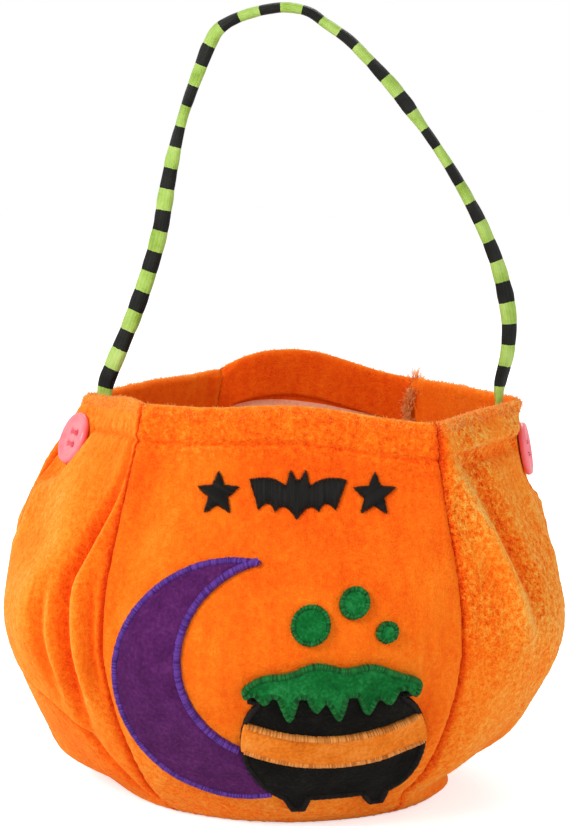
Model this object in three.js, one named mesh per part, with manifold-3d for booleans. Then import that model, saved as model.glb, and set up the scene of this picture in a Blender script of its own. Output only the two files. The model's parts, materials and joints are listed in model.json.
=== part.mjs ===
// A small cloth candy bag in the shape of a pumpkin: six gored panels and a base of orange
// velour, felt appliques and embroidery on the front, a striped ribbon handle on a stiff core,
// and a sewn-on button below each end of the handle.
//
// Millimetres. +Z is up, the front panel faces -Y, and the origin is the centre of the base.

import * as THREE from 'three';
import { mergeVertices } from 'three/addons/utils/BufferGeometryUtils.js';
import Module from 'manifold-3d';

const wasm = await Module();
wasm.setup();

// Driving dimensions of the bag. Widths run along X and depths along Y, across the seams. Flare
// and shoulder say how fast the body widens above its base and narrows below its mouth.
const baseWidth = 112;
const baseDepth = 98;
const bellyWidth = 184;
const bellyDepth = 160;
const mouthWidth = 150;
const mouthDepth = 132;
const bellyHeight = 62;
const rimHeight = 134;
const baseFlare = 0.66;
const mouthShoulder = 0.34;
const mouthLean = 6.3;
const bodyTwist = 4.2;
const frontSeamAngle = 39;
const sideSeamAngle = 94.5;
const backSeamAngle = 151;

// How far a panel swells past its chord, as a multiple of the arc between its seams, and how far
// the middle of its rim stands above its seams.
const baseFullness = 1.0;
const mouthFullness = 0.13;
const frontSwell = { fullness: 1.2, rise: 5 };
const sideSwell = { fullness: 1.5, rise: 4 };
const backRightSwell = { fullness: 1.5, rise: 0.5 };
const backSwell = { fullness: 1.4, rise: 9, rimPower: 1.3, rimShift: 2 };

// Slack cloth, as sideways moves to the left. The left side sags out above the belly, and below
// it the bag slumps over its base, more on the right side than on the left.
const leftSag = 7;
const sagHeight = 103;
const sagReach = 26;
const sagReachUp = 19;
const leftSlump = 4;
const rightSlump = 12;
const slumpStart = 3.4;
const slumpFull = 10;
const slumpHeight = 5;
const slumpReach = 11;
const slackDepth = 36;
const slackHeldFrom = 11.6;
const slackHeldBy = 19;

// Cloth, seams and hem.
const clothThickness = 2;
const hemThickness = 3.6;
const hemDepth = 12;
const hemGroove = 0.5;
const hemRounding = 1.2;
const seamAllowance = 6;
const sewnGap = 0.3;
const baseGap = 0.8;
const touchGap = 0.3;

// Handle: a stiff core in a tubular ribbon, with its flattened ends sewn inside the hem.
const ribbonDiameter = 4.2;
const ribbonWall = 0.35;
const coreDiameter = 2.9;
const archHeight = 126.7;
const pivotRise = 3;
const handleEndWidth = 6;
const handleEndThickness = 2.2;
const handleEndLength = 15;
const handleEndFromSeam = 8.2;
const handleEndGap = 1.15;

// Buttons, with four holes, and their thread.
const buttonDiameter = 18;
const buttonThickness = 2.6;
const buttonEdge = 1.2;
const buttonDish = 0.8;
const buttonLip = 2.2;
const buttonHole = 1.9;
const buttonHoleSpacing = 4.2;
const buttonDrop = 17.5;
const buttonFromSeam = 3.5;
const threadDiameter = 0.8;

// The buttons' thread draws the cloth in by this depth, under the button and a little way round.
const buttonDraw = 2.4;
const buttonDrawReach = 18;

// Felt and embroidery on the front panel. Places are seen from the front.
const feltThickness = 1.2;
const threadHeight = 0.8;
const moonRadius = 39;
const moonBiteRadius = 31;
const moonCentre = [-8, 53];
const moonBiteShift = [14, 8];
const potCentre = [22, 34];
const potWidth = 58;
const potHeight = 40;
const potLipWidth = 50;
const potLipHeight = 4;
const potNeckWidth = 43;
const potFootWidth = 8;
const potFootHeight = 5;
const potFootSpacing = 24;
const bandHeight = 10;
const bandDrop = 13;
const bandSag = 3;
const brewWidth = 53;
const brewHeight = 8;
const brewDrip = 9;
const brewHem = 1.6;
const bubbleRadii = [5.6, 4.2, 2.9];
const bubblePlaces = [[16, 74], [29, 80], [39, 71]];
const motifDrop = 23;
const batCentre = [10, rimHeight - motifDrop];
const batSpan = 30;
const batHeight = 14;
const starRadius = 6.6;
const starPlaces = [[-15, rimHeight - motifDrop], [34, rimHeight - motifDrop]];

// Fineness of the meshes.
const sideColumns = 8;
const frontColumns = 14;
const lowerRows = 8;
const upperRows = 7;
const tubeSides = 8;
const handleSteps = 54;
const roundSides = 28;
const threadSides = 6;
const threadSteps = 36;

const degrees = Math.PI / 180;

// The run of the panels, from the base (station 0) over the belly (0.5) to the rim (1).
// Each curve carries half the width, half the depth and the height.
const baseEdge = new THREE.Vector3(baseWidth / 2, baseDepth / 2, sewnGap);
const belly = new THREE.Vector3(bellyWidth / 2, bellyDepth / 2, bellyHeight);
const mouthEdge = new THREE.Vector3(mouthWidth / 2, mouthDepth / 2, rimHeight);
const heightUp = (share) => THREE.MathUtils.lerp(bellyHeight, rimHeight, share);
const lowerRun = new THREE.CubicBezierCurve3(
  baseEdge,
  baseEdge.clone().lerp(belly, baseFlare).setZ(bellyHeight * 0.23),
  belly.clone().setZ(bellyHeight * 0.8),
  belly,
);
const upperRun = new THREE.CubicBezierCurve3(
  belly,
  belly.clone().setZ(heightUp(0.4)),
  mouthEdge.clone().lerp(belly, mouthShoulder).setZ(heightUp(0.52)),
  mouthEdge,
);

function run(station) {
  return station < 0.5 ? lowerRun.getPoint(station * 2) : upperRun.getPoint(station * 2 - 1);
}

// The station whose height is asked for, by halving.
function stationAt(height) {
  let low = 0;
  let high = 1;
  for (let step = 0; step < 40; step++) {
    const middle = (low + high) / 2;
    if (run(middle).z < height) {
      low = middle;
    } else {
      high = middle;
    }
  }
  return low;
}

function fullnessAt(panel, station) {
  const { lerp, smoothstep } = THREE.MathUtils;
  return station < 0.5
    ? lerp(baseFullness, panel.fullness, smoothstep(station, 0, 0.45))
    : lerp(panel.fullness, mouthFullness, smoothstep(station, 0.5, 1));
}

// The bag leans a little to one side above its belly.
function lean(height) {
  return mouthLean * THREE.MathUtils.smoothstep(height, bellyHeight, rimHeight);
}

// The body below the mouth is turned a little, so that the seams run up at a slight slant.
function turnedBy(height) {
  return bodyTwist * (1 - THREE.MathUtils.smoothstep(height, bellyHeight, rimHeight));
}

// A point of a seam, at an angle measured from the front towards +X.
function seamPoint(angle, station) {
  const size = run(station);
  const turned = (angle + turnedBy(size.z)) * degrees;
  return new THREE.Vector3(
    lean(size.z) + size.x * Math.sin(turned),
    -size.y * Math.cos(turned),
    size.z,
  );
}

// Level unit vector out of the bag, square to the chord between two points.
function outwardOf(from, to) {
  return new THREE.Vector3(to.y - from.y, from.x - to.x, 0).normalize();
}

// A panel's rise above its seams at the rim, which may lean towards one of them.
function rimRise(panel, across) {
  const swell = Math.max(Math.sin(Math.PI * across), 0);
  return panel.rise * swell ** (panel.rimPower ?? 2)
    - (panel.rimShift ?? 0) * Math.sin(2 * Math.PI * across);
}

// A point of a panel's outer face as cut. Across is 0 at its first seam and 1 at its second.
function plainPoint(panel, across, station) {
  const first = seamPoint(panel.from, station);
  const second = seamPoint(panel.to, station);
  const outward = outwardOf(first, second);
  const arc = seamPoint((panel.from + panel.to) / 2, station);
  const sagitta = arc.sub(first).dot(outward) * fullnessAt(panel, station);
  const point = first.clone().lerp(second, across);
  point.addScaledVector(outward, sagitta * 4 * across * (1 - across));
  const nearRim = THREE.MathUtils.smoothstep(station, 0.75, 1);
  point.z += rimRise(panel, across) * nearRim;
  return point;
}

// How far the slack cloth at a point of the body lies to the left.
function slackAt(point) {
  const { lerp, smoothstep } = THREE.MathUtils;
  const bell = (value, middle, reach) => Math.exp(-(((value - middle) / reach) ** 2));
  const rightward = smoothstep(point.x, -slackDepth, slackDepth);
  const reach = point.z > sagHeight ? sagReachUp : sagReach;
  const sag = leftSag * (1 - rightward) * bell(point.z, sagHeight, reach);
  const slump = lerp(leftSlump, rightSlump, rightward) * smoothstep(point.z, slumpStart, slumpFull);
  return (sag + slump * bell(point.z, slumpHeight, slumpReach)) * bell(point.y, 0, slackDepth);
}

// A point of a panel's outer face with its slack, drawn in round the buttons.
function panelPoint(panel, across, station) {
  const { smoothstep } = THREE.MathUtils;
  const cut = plainPoint(panel, across, station);
  const point = cut.clone();
  let slack = slackAt(cut);
  for (const seat of buttonSeats) {
    const distance = cut.distanceTo(seat.point);
    const share = 1 - smoothstep(distance, buttonDrawReach / 3, buttonDrawReach);
    point.addScaledVector(seat.outward, -buttonDraw * share);
    slack *= smoothstep(distance, slackHeldFrom, slackHeldBy);
  }
  point.x -= slack;
  return point;
}

// Unit normal of a panel's face, from four near points of the surface that is given.
function panelNormal(panel, across, station, surface = panelPoint) {
  const step = 0.004;
  const left = surface(panel, across - step, station);
  const right = surface(panel, across + step, station);
  const low = surface(panel, across, Math.max(station - step, 0));
  const high = surface(panel, across, Math.min(station + step, 1));
  return right.sub(left).cross(high.sub(low)).normalize();
}

const panels = {
  front_panel: { from: -frontSeamAngle, to: frontSeamAngle, columns: frontColumns, ...frontSwell },
  front_right_panel: { from: frontSeamAngle, to: sideSeamAngle, columns: sideColumns, ...sideSwell },
  back_right_panel: { from: sideSeamAngle, to: backSeamAngle, columns: sideColumns, ...backRightSwell },
  back_panel: { from: backSeamAngle, to: 360 - backSeamAngle, columns: sideColumns, ...backSwell },
  back_left_panel: { from: -backSeamAngle, to: -sideSeamAngle, columns: sideColumns, ...sideSwell },
  front_left_panel: { from: -sideSeamAngle, to: -frontSeamAngle, columns: sideColumns, ...sideSwell },
};

// Where the buttons are sewn to the cloth as cut: the left one just in front of its side seam,
// the right one over its side seam.
const buttonStation = stationAt(rimHeight - buttonDrop);
const buttonSeats = [leftSeat(), rightSeat()];

function leftSeat() {
  const panel = panels.front_left_panel;
  const [first, second] = [panel.from, panel.to].map((angle) => seamPoint(angle, buttonStation));
  const across = buttonFromSeam / first.distanceTo(second);
  return {
    point: plainPoint(panel, across, buttonStation),
    outward: panelNormal(panel, across, buttonStation, plainPoint),
  };
}

function rightSeat() {
  const before = panelNormal(panels.front_right_panel, 1, buttonStation, plainPoint);
  const after = panelNormal(panels.back_right_panel, 0, buttonStation, plainPoint);
  return {
    point: seamPoint(sideSeamAngle, buttonStation),
    outward: before.add(after).normalize(),
  };
}

// Stations of the mesh rows, with the hem's stitched groove and rounded fold.
const hemStation = stationAt(rimHeight - hemDepth);
const grooveStep = 0.008;
const rows = [];
for (let row = 0; row < lowerRows; row++) {
  rows.push((row / lowerRows) * 0.5);
}
for (let row = 0; row < upperRows; row++) {
  rows.push(THREE.MathUtils.lerp(0.5, hemStation - grooveStep, row / upperRows));
}
rows.push(hemStation - grooveStep, hemStation - 0.001, hemStation + 0.001, hemStation + grooveStep);
rows.push((hemStation + 1) / 2, 0.985, 1);

function wallAt(station) {
  return station > hemStation ? hemThickness : clothThickness;
}

// How far a row lies in from the plain face: the stitched groove and the fold's rounding.
function insetAt(station) {
  if (station === 1) {
    return hemRounding;
  }
  return Math.abs(station - hemStation) < grooveStep / 2 ? hemGroove : 0;
}

function bufferFrom(points, triangles) {
  const geometry = new THREE.BufferGeometry();
  const positions = points.flatMap((point) => [point.x, point.y, point.z]);
  geometry.setAttribute('position', new THREE.Float32BufferAttribute(positions, 3));
  geometry.setIndex(triangles);
  return geometry;
}

// A closed solid between two grids of points with the same rows and columns. The outer grid's
// columns run to the right and its rows run up, seen from outside.
function sheetSolid(outer, inner) {
  const columns = outer[0].length;
  const count = outer.length * columns;
  const points = [...outer.flat(), ...inner.flat()];
  const triangles = [];
  const quad = (a, b, c, d) => triangles.push(a, b, c, a, c, d);
  for (let row = 0; row + 1 < outer.length; row++) {
    const first = row * columns;
    const last = first + columns - 1;
    for (let column = 0; column + 1 < columns; column++) {
      const a = first + column;
      quad(a, a + 1, a + 1 + columns, a + columns);
      quad(count + a + 1, count + a, count + a + columns, count + a + 1 + columns);
    }
    quad(count + first, first, first + columns, count + first + columns);
    quad(last, count + last, count + last + columns, last + columns);
  }
  const top = count - columns;
  for (let column = 0; column + 1 < columns; column++) {
    quad(count + column, count + column + 1, column + 1, column);
    quad(top + column, top + column + 1, count + top + column + 1, count + top + column);
  }
  return bufferFrom(points, triangles);
}

function toManifold(geometry) {
  const bare = geometry.clone();
  bare.deleteAttribute('normal');
  bare.deleteAttribute('uv');
  const merged = mergeVertices(bare, 1e-4);
  return new wasm.Manifold(new wasm.Mesh({
    numProp: 3,
    vertProperties: Float32Array.from(merged.attributes.position.array),
    triVerts: Uint32Array.from(merged.index.array),
  }));
}

function fromManifold(solid) {
  const mesh = solid.getMesh();
  const geometry = new THREE.BufferGeometry();
  const positions = Float32Array.from(mesh.vertProperties);
  geometry.setAttribute('position', new THREE.BufferAttribute(positions, 3));
  geometry.setIndex(Array.from(mesh.triVerts));
  return geometry;
}

// Base panel: a flat oval inside the gores' lower edges.
const gorePitch = lowerRun.getTangent(0);
const gorePitchLevel = Math.hypot(gorePitch.x, gorePitch.z);
const baseInset = clothThickness * (gorePitch.z / gorePitchLevel) + baseGap;
const baseHalfWidth = baseWidth / 2 - baseInset;
const baseHalfDepth = baseDepth / 2 - baseInset;

function basePanel() {
  const profile = [
    new THREE.Vector2(0, 0),
    new THREE.Vector2(baseHalfWidth, 0),
    new THREE.Vector2(baseHalfWidth, clothThickness),
    new THREE.Vector2(0, clothThickness),
  ];
  const geometry = new THREE.LatheGeometry(profile, 60);
  geometry.rotateX(Math.PI / 2);
  geometry.scale(1, baseHalfDepth / baseHalfWidth, 1);
  return fromManifold(toManifold(geometry));
}

// One seam edge of a panel row: the turned-in allowance and the corner, outer and inner faces.
// Side is +1 at a panel's first seam and -1 at its second.
function seamEdge(panel, side, station) {
  const size = run(station);
  const angle = ((side > 0 ? panel.from : panel.to) + turnedBy(size.z)) * degrees;
  const point = panelPoint(panel, side > 0 ? 0 : 1, station);
  const inward = new THREE.Vector3(-Math.sin(angle), Math.cos(angle), 0);
  const along = new THREE.Vector3(Math.cos(angle), Math.sin(angle), 0);
  along.multiplyScalar(side);
  const across = side > 0 ? 0.02 : 0.98;
  const faceRun = panelPoint(panel, across, station).sub(point).setZ(0).normalize();
  const normal = panelNormal(panel, across, station);
  const level = Math.hypot(normal.x, normal.y);
  const wall = wallAt(station) - insetAt(station);
  const runAcross = Math.max(faceRun.dot(along), 0.3);
  const cornerDepth = (level * (wall + clothThickness * faceRun.dot(inward))) / runAcross;
  const spare = station > hemStation ? 0 : size.x - baseHalfWidth - sewnGap;
  const foldDepth = Math.max(Math.min(seamAllowance, spare), cornerDepth + 0.4);
  const start = point.clone().addScaledVector(along, sewnGap / 2);
  start.addScaledVector(inward, insetAt(station));
  const place = (sideways, depth, rise) => {
    const spot = start.clone().addScaledVector(along, sideways).addScaledVector(inward, depth);
    spot.z += rise;
    return spot;
  };
  return {
    outer: [place(0, foldDepth, 0), place(0, 0, 0)],
    inner: [place(clothThickness, foldDepth, 0), place(clothThickness, cornerDepth, -normal.z * wall)],
  };
}

// A panel: its outer face, the face one wall further in, and a turned-in allowance at both seams.
function panelSolid(panel) {
  const outer = [];
  const inner = [];
  for (const station of rows) {
    const first = seamEdge(panel, 1, station);
    const second = seamEdge(panel, -1, station);
    const outerRow = [...first.outer];
    const innerRow = [...first.inner];
    for (let column = 1; column < panel.columns; column++) {
      const across = column / panel.columns;
      const normal = panelNormal(panel, across, station);
      const point = panelPoint(panel, across, station).addScaledVector(normal, -insetAt(station));
      outerRow.push(point);
      const depth = wallAt(station) - (station === 1 ? 2 : 1) * insetAt(station);
      innerRow.push(point.clone().addScaledVector(normal, -depth));
    }
    outerRow.push(...second.outer.reverse());
    innerRow.push(...second.inner.reverse());
    outer.push(outerRow);
    inner.push(innerRow);
  }
  return sheetSolid(outer, inner);
}

// A thin curved blank that lies on the front panel, from which felt and stitching are cut.
function frontBlank(lift, thickness) {
  const panel = panels.front_panel;
  const face = (height) => rows.map((station) => {
    const row = [];
    for (let column = 0; column <= panel.columns; column++) {
      const across = THREE.MathUtils.clamp(column / panel.columns, 0.03, 0.97);
      const normal = panelNormal(panel, across, station);
      row.push(panelPoint(panel, across, station).addScaledVector(normal, height));
    }
    return row;
  });
  return toManifold(sheetSolid(face(lift + thickness), face(lift)));
}

// A flat outline seen from the front, as a solid that runs through the front of the bag.
function cutter(shape) {
  const geometry = new THREE.ExtrudeGeometry(shape, {
    depth: bellyDepth,
    bevelEnabled: false,
    curveSegments: 14,
  });
  geometry.rotateX(Math.PI / 2);
  return toManifold(geometry);
}

function circle(x, z, radius) {
  const shape = new THREE.Shape();
  shape.absarc(x, z, radius, 0, Math.PI * 2);
  return shape;
}

// The pot: a wide lip, a round belly and two feet, drawn from its lip's left end. Grow sets its
// whole outline that far outwards.
function potShape(grow = 0) {
  const [x, z] = potCentre;
  const lip = potLipWidth / 2 + grow;
  const neck = potNeckWidth / 2 + grow;
  const bulge = 1.06 * (potWidth / 2 + grow);
  const floor = 0.55 * (potWidth / 2 + grow);
  const top = z + potHeight / 2 + grow;
  const underLip = z + potHeight / 2 - potLipHeight - grow;
  const bottom = z - potHeight / 2 - grow;
  const shoulder = z + potHeight * 0.22;
  const hip = z - potHeight * 0.3;
  const shape = new THREE.Shape();
  shape.moveTo(x - lip, top);
  shape.lineTo(x - lip, underLip);
  shape.lineTo(x - neck, underLip);
  shape.bezierCurveTo(x - bulge, shoulder, x - bulge, hip, x - floor, bottom);
  for (const foot of [x - potFootSpacing / 2, x + potFootSpacing / 2]) {
    shape.lineTo(foot - potFootWidth / 2 - grow, bottom);
    shape.lineTo(foot - potFootWidth / 4 - grow, bottom - potFootHeight);
    shape.lineTo(foot + potFootWidth / 4 + grow, bottom - potFootHeight);
    shape.lineTo(foot + potFootWidth / 2 + grow, bottom);
  }
  shape.lineTo(x + floor, bottom);
  shape.bezierCurveTo(x + bulge, hip, x + bulge, shoulder, x + neck, underLip);
  shape.lineTo(x + lip, underLip);
  shape.lineTo(x + lip, top);
  shape.closePath();
  return shape;
}

// The brew: a domed, wavy top, and drips of several lengths over the pot's lip.
function brewShape() {
  const lipTop = potCentre[1] + potHeight / 2;
  const pointAt = (share, rise) => (
    new THREE.Vector2(potCentre[0] + brewWidth * (share - 0.5), lipTop + rise)
  );
  const points = [];
  const count = 48;
  for (let step = 0; step <= count; step++) {
    const share = step / count;
    const dome = Math.sin(Math.PI * share) ** 0.6;
    const wave = 0.9 * Math.sin(6 * Math.PI * share);
    points.push(pointAt(share, dome * (brewHeight + wave)));
  }
  for (let step = 1; step < count; step++) {
    const share = 1 - step / count;
    const ends = Math.sin(Math.PI * share) ** 0.4;
    const wide = 0.32 + 0.3 * Math.cos(8 * Math.PI * share);
    const drip = Math.max(wide + 0.38 * Math.cos(14 * Math.PI * share + 1), 0);
    points.push(pointAt(share, -ends * (brewHem + drip * brewDrip)));
  }
  return new THREE.Shape(points);
}

function starShape(x, z) {
  const points = [];
  for (let corner = 0; corner < 10; corner++) {
    const radius = corner % 2 === 0 ? starRadius : starRadius * 0.45;
    const angle = 90 * degrees + (corner * Math.PI) / 5;
    points.push(new THREE.Vector2(x + radius * Math.cos(angle), z + radius * Math.sin(angle)));
  }
  return new THREE.Shape(points);
}

// A bat with spread wings: arcs for the wings' scalloped lower edge, and two pointed ears.
function batShape() {
  const [x, z] = batCentre;
  const half = batSpan / 2;
  const shape = new THREE.Shape();
  shape.moveTo(x - half, z + batHeight * 0.3);
  shape.quadraticCurveTo(x - half * 0.86, z - batHeight * 0.1, x - half * 0.8, z - batHeight * 0.3);
  shape.quadraticCurveTo(x - half * 0.58, z - batHeight * 0.02, x - half * 0.45, z - batHeight * 0.34);
  shape.quadraticCurveTo(x - half * 0.26, z - batHeight * 0.08, x, z - batHeight * 0.5);
  shape.quadraticCurveTo(x + half * 0.26, z - batHeight * 0.08, x + half * 0.45, z - batHeight * 0.34);
  shape.quadraticCurveTo(x + half * 0.58, z - batHeight * 0.02, x + half * 0.8, z - batHeight * 0.3);
  shape.quadraticCurveTo(x + half * 0.86, z - batHeight * 0.1, x + half, z + batHeight * 0.3);
  shape.quadraticCurveTo(x + half * 0.5, z + batHeight * 0.42, x + half * 0.24, z + batHeight * 0.14);
  shape.lineTo(x + half * 0.16, z + batHeight * 0.5);
  shape.lineTo(x + half * 0.05, z + batHeight * 0.3);
  shape.lineTo(x - half * 0.05, z + batHeight * 0.3);
  shape.lineTo(x - half * 0.16, z + batHeight * 0.5);
  shape.lineTo(x - half * 0.24, z + batHeight * 0.14);
  shape.quadraticCurveTo(x - half * 0.5, z + batHeight * 0.42, x - half, z + batHeight * 0.3);
  return shape;
}

const upperLift = touchGap + feltThickness + touchGap;

// The crescent moon's outline is one disc less another, and it stops short of the pot.
function moonPatch() {
  const [x, z] = moonCentre;
  const [biteX, biteZ] = moonBiteShift;
  const disc = cutter(circle(x, z, moonRadius));
  const bite = cutter(circle(x + biteX, z + biteZ, moonBiteRadius));
  const crescent = disc.subtract(bite).subtract(cutter(potShape(touchGap)));
  return fromManifold(frontBlank(touchGap, feltThickness).intersect(crescent));
}

function potPatch() {
  return fromManifold(frontBlank(touchGap, feltThickness).intersect(cutter(potShape())));
}

function bandPatch() {
  const [x, z] = potCentre;
  const endTop = z + potHeight / 2 - bandDrop + bandSag;
  const middleTop = endTop - 4 * bandSag;
  const shape = new THREE.Shape();
  shape.moveTo(x - potWidth, endTop);
  shape.quadraticCurveTo(x, middleTop, x + potWidth, endTop);
  shape.lineTo(x + potWidth, endTop - bandHeight);
  shape.quadraticCurveTo(x, middleTop - bandHeight, x - potWidth, endTop - bandHeight);
  const band = cutter(shape).intersect(cutter(potShape()));
  return fromManifold(frontBlank(upperLift, feltThickness).intersect(band));
}

function brewPatch() {
  return fromManifold(frontBlank(upperLift, feltThickness).intersect(cutter(brewShape())));
}

function bubblePatch(index) {
  const disc = cutter(circle(...bubblePlaces[index], bubbleRadii[index]));
  return fromManifold(frontBlank(touchGap, feltThickness).intersect(disc));
}

function embroideredBat() {
  return fromManifold(frontBlank(touchGap, threadHeight).intersect(cutter(batShape())));
}

function embroideredStar(place) {
  return fromManifold(frontBlank(touchGap, threadHeight).intersect(cutter(starShape(...place))));
}

// A frame on the cloth. Outward is square to it, sideways is level and upward runs up the cloth.
function frameOn(point, outward) {
  const sideways = new THREE.Vector3(0, 0, 1).cross(outward).normalize();
  return { point: point.clone(), outward, sideways, upward: outward.clone().cross(sideways) };
}

// Moves a piece that is drawn on the XY plane onto a frame.
function seat(geometry, frame) {
  const placement = new THREE.Matrix4().makeBasis(frame.sideways, frame.upward, frame.outward);
  placement.setPosition(frame.point);
  geometry.applyMatrix4(placement);
  return geometry;
}

// Handle pivots: above the rim, in line with the flattened ends that are sewn inside the hem.
const pivotHeight = rimHeight + pivotRise;

// The frame of a handle end, which lies straight along the hem's inside and has its origin at
// the height of the pivots.
function handleFrame(side) {
  const panel = side > 0 ? panels.front_right_panel : panels.front_left_panel;
  const stations = [rimHeight - handleEndLength, rimHeight].map(stationAt);
  const chord = seamPoint(panel.from, 1).distanceTo(seamPoint(panel.to, 1));
  const across = side > 0 ? 1 - handleEndFromSeam / chord : handleEndFromSeam / chord;
  const normals = stations.map((station) => panelNormal(panel, across, station));
  const [low, high] = stations.map((station, index) => (
    panelPoint(panel, across, station).addScaledVector(normals[index], -hemThickness)
  ));
  const frame = frameOn(high, normals[0].clone().add(normals[1]).normalize());
  frame.upward = high.clone().sub(low).normalize();
  frame.outward = frame.sideways.clone().cross(frame.upward);
  frame.point.addScaledVector(frame.outward, -(handleEndGap + handleEndThickness / 2));
  frame.point.addScaledVector(frame.upward, (pivotHeight - frame.point.z) / frame.upward.z);
  return frame;
}

const leftPivot = handleFrame(-1);
const rightPivot = handleFrame(1);
const pivotY = (leftPivot.point.y + rightPivot.point.y) / 2;

// The arch, as shares of half its span and of its height: it is bent sharply at the upper left,
// where it was folded flat for packing, and falls in a long lazy curve to the right.
const archShares = [
  [-0.977, 0.05],
  [-0.878, 0.18],
  [-0.789, 0.309],
  [-0.729, 0.422],
  [-0.696, 0.522],
  [-0.654, 0.628],
  [-0.606, 0.723],
  [-0.546, 0.809],
  [-0.475, 0.902],
  [-0.433, 0.939],
  [-0.38, 0.96],
  [-0.253, 0.986],
  [-0.092, 0.999],
  [0.028, 0.987],
  [0.108, 0.959],
  [0.228, 0.915],
  [0.328, 0.863],
  [0.463, 0.786],
  [0.596, 0.693],
  [0.721, 0.599],
  [0.828, 0.506],
  [0.92, 0.412],
  [0.991, 0.317],
  [1.034, 0.222],
  [1.045, 0.165],
  [1.035, 0.095],
];
const archSpan = (rightPivot.point.x - leftPivot.point.x) / 2;
const archMiddle = (rightPivot.point.x + leftPivot.point.x) / 2;

// The handle's centre line, started and ended a little above the pivots.
function archCurve(endRise) {
  const points = archShares.map(([sideways, up]) => (
    new THREE.Vector3(archMiddle + sideways * archSpan, pivotY, pivotHeight + up * archHeight)
  ));
  points.unshift(new THREE.Vector3(archMiddle - archSpan, pivotY, pivotHeight + endRise));
  points.push(new THREE.Vector3(archMiddle + archSpan, pivotY, pivotHeight + endRise));
  return new THREE.CatmullRomCurve3(points, false, 'centripetal');
}

function polygon(radius, reverse = false) {
  const points = [];
  for (let side = 0; side < tubeSides; side++) {
    const angle = (side / tubeSides) * Math.PI * 2;
    points.push(new THREE.Vector2(radius * Math.cos(angle), radius * Math.sin(angle)));
  }
  return reverse ? points.reverse() : points;
}

function handleRibbon() {
  const section = new THREE.Shape(polygon(ribbonDiameter / 2));
  section.holes.push(new THREE.Path(polygon(ribbonDiameter / 2 - ribbonWall, true)));
  return new THREE.ExtrudeGeometry(section, {
    steps: handleSteps,
    extrudePath: archCurve(1.3),
    bevelEnabled: false,
  });
}

// The core shows at the ribbon's two ends, where it is rounded about the pivots.
function handleCore() {
  const stem = new THREE.ExtrudeGeometry(new THREE.Shape(polygon(coreDiameter / 2)), {
    steps: handleSteps,
    extrudePath: archCurve(0),
    bevelEnabled: false,
  });
  let core = toManifold(stem);
  for (const side of [-1, 1]) {
    const ball = new THREE.SphereGeometry(coreDiameter / 2, tubeSides, tubeSides / 2);
    ball.rotateX(Math.PI / 2);
    ball.translate(archMiddle + side * archSpan, pivotY, pivotHeight);
    core = core.add(toManifold(ball));
  }
  return fromManifold(core);
}

// A flattened handle end inside the hem, from its raw end up to just below the pivot.
function handleEnd(frame) {
  const top = -coreDiameter / 2 - touchGap;
  const shoulder = -pivotRise - 1;
  const bottom = shoulder - handleEndLength;
  const half = handleEndWidth / 2;
  const neck = ribbonDiameter / 2;
  const shape = new THREE.Shape();
  shape.moveTo(-half, bottom);
  shape.lineTo(half, bottom);
  shape.lineTo(half, shoulder - half);
  shape.lineTo(neck, shoulder);
  shape.lineTo(neck, top);
  shape.lineTo(-neck, top);
  shape.lineTo(-neck, shoulder);
  shape.lineTo(-half, shoulder - half);
  shape.closePath();
  const geometry = new THREE.ExtrudeGeometry(shape, { depth: handleEndThickness, bevelEnabled: false });
  geometry.translate(0, 0, -handleEndThickness / 2);
  return seat(geometry, frame);
}

// A four-hole button, dished inside a rounded lip, with its back on the XY plane.
function buttonSolid() {
  const radius = buttonDiameter / 2;
  const face = buttonThickness - buttonDish;
  const dishRadius = radius - buttonLip;
  const profile = [
    new THREE.Vector2(0, 0),
    new THREE.Vector2(radius - buttonEdge, 0),
    new THREE.Vector2(radius - buttonEdge * 0.2, buttonThickness * 0.3),
    new THREE.Vector2(radius, buttonThickness * 0.55),
    new THREE.Vector2(radius - buttonEdge * 0.4, buttonThickness * 0.9),
    new THREE.Vector2(radius - buttonLip / 2, buttonThickness),
    new THREE.Vector2(dishRadius, face + buttonDish * 0.2),
    new THREE.Vector2(dishRadius - buttonLip / 2, face),
    new THREE.Vector2(0, face),
  ];
  const disc = new THREE.LatheGeometry(profile, roundSides);
  disc.rotateX(Math.PI / 2);
  let solid = toManifold(disc);
  for (const [x, y] of holePlaces()) {
    const hole = new THREE.CylinderGeometry(buttonHole / 2, buttonHole / 2, buttonThickness * 3, 12);
    hole.rotateX(Math.PI / 2);
    hole.translate(x, y, 0);
    solid = solid.subtract(toManifold(hole));
  }
  return fromManifold(solid);
}

function holePlaces() {
  const half = buttonHoleSpacing / 2;
  return [[-half, -half], [half, -half], [half, half], [-half, half]];
}

// One length of thread, sewn over the button's face twice: up through a hole, across, down the
// next, slantwise under the button, and the same again.
function buttonThread() {
  const half = buttonHoleSpacing / 2;
  const crown = buttonThickness - buttonDish + touchGap + threadDiameter / 2;
  const under = -touchGap - threadDiameter / 2;
  const stitch = (y) => [
    new THREE.Vector3(-half, y, crown - threadDiameter),
    new THREE.Vector3(-half * 0.7, y, crown),
    new THREE.Vector3(half * 0.7, y, crown),
    new THREE.Vector3(half, y, crown - threadDiameter),
  ];
  const path = new THREE.CatmullRomCurve3([
    new THREE.Vector3(-half, -half, under),
    ...stitch(-half),
    new THREE.Vector3(half, -half, under / 2),
    new THREE.Vector3(half * 0.6, -half * 0.6, under),
    new THREE.Vector3(-half * 0.6, half * 0.6, under),
    new THREE.Vector3(-half, half, under / 2),
    ...stitch(half),
    new THREE.Vector3(half, half, under),
  ], false, 'centripetal');
  const section = [];
  for (let side = 0; side < threadSides; side++) {
    const angle = (side / threadSides) * Math.PI * 2;
    section.push(new THREE.Vector2(Math.cos(angle), Math.sin(angle)).multiplyScalar(threadDiameter / 2));
  }
  return new THREE.ExtrudeGeometry(new THREE.Shape(section), {
    steps: threadSteps,
    extrudePath: path,
    bevelEnabled: false,
  });
}

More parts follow.
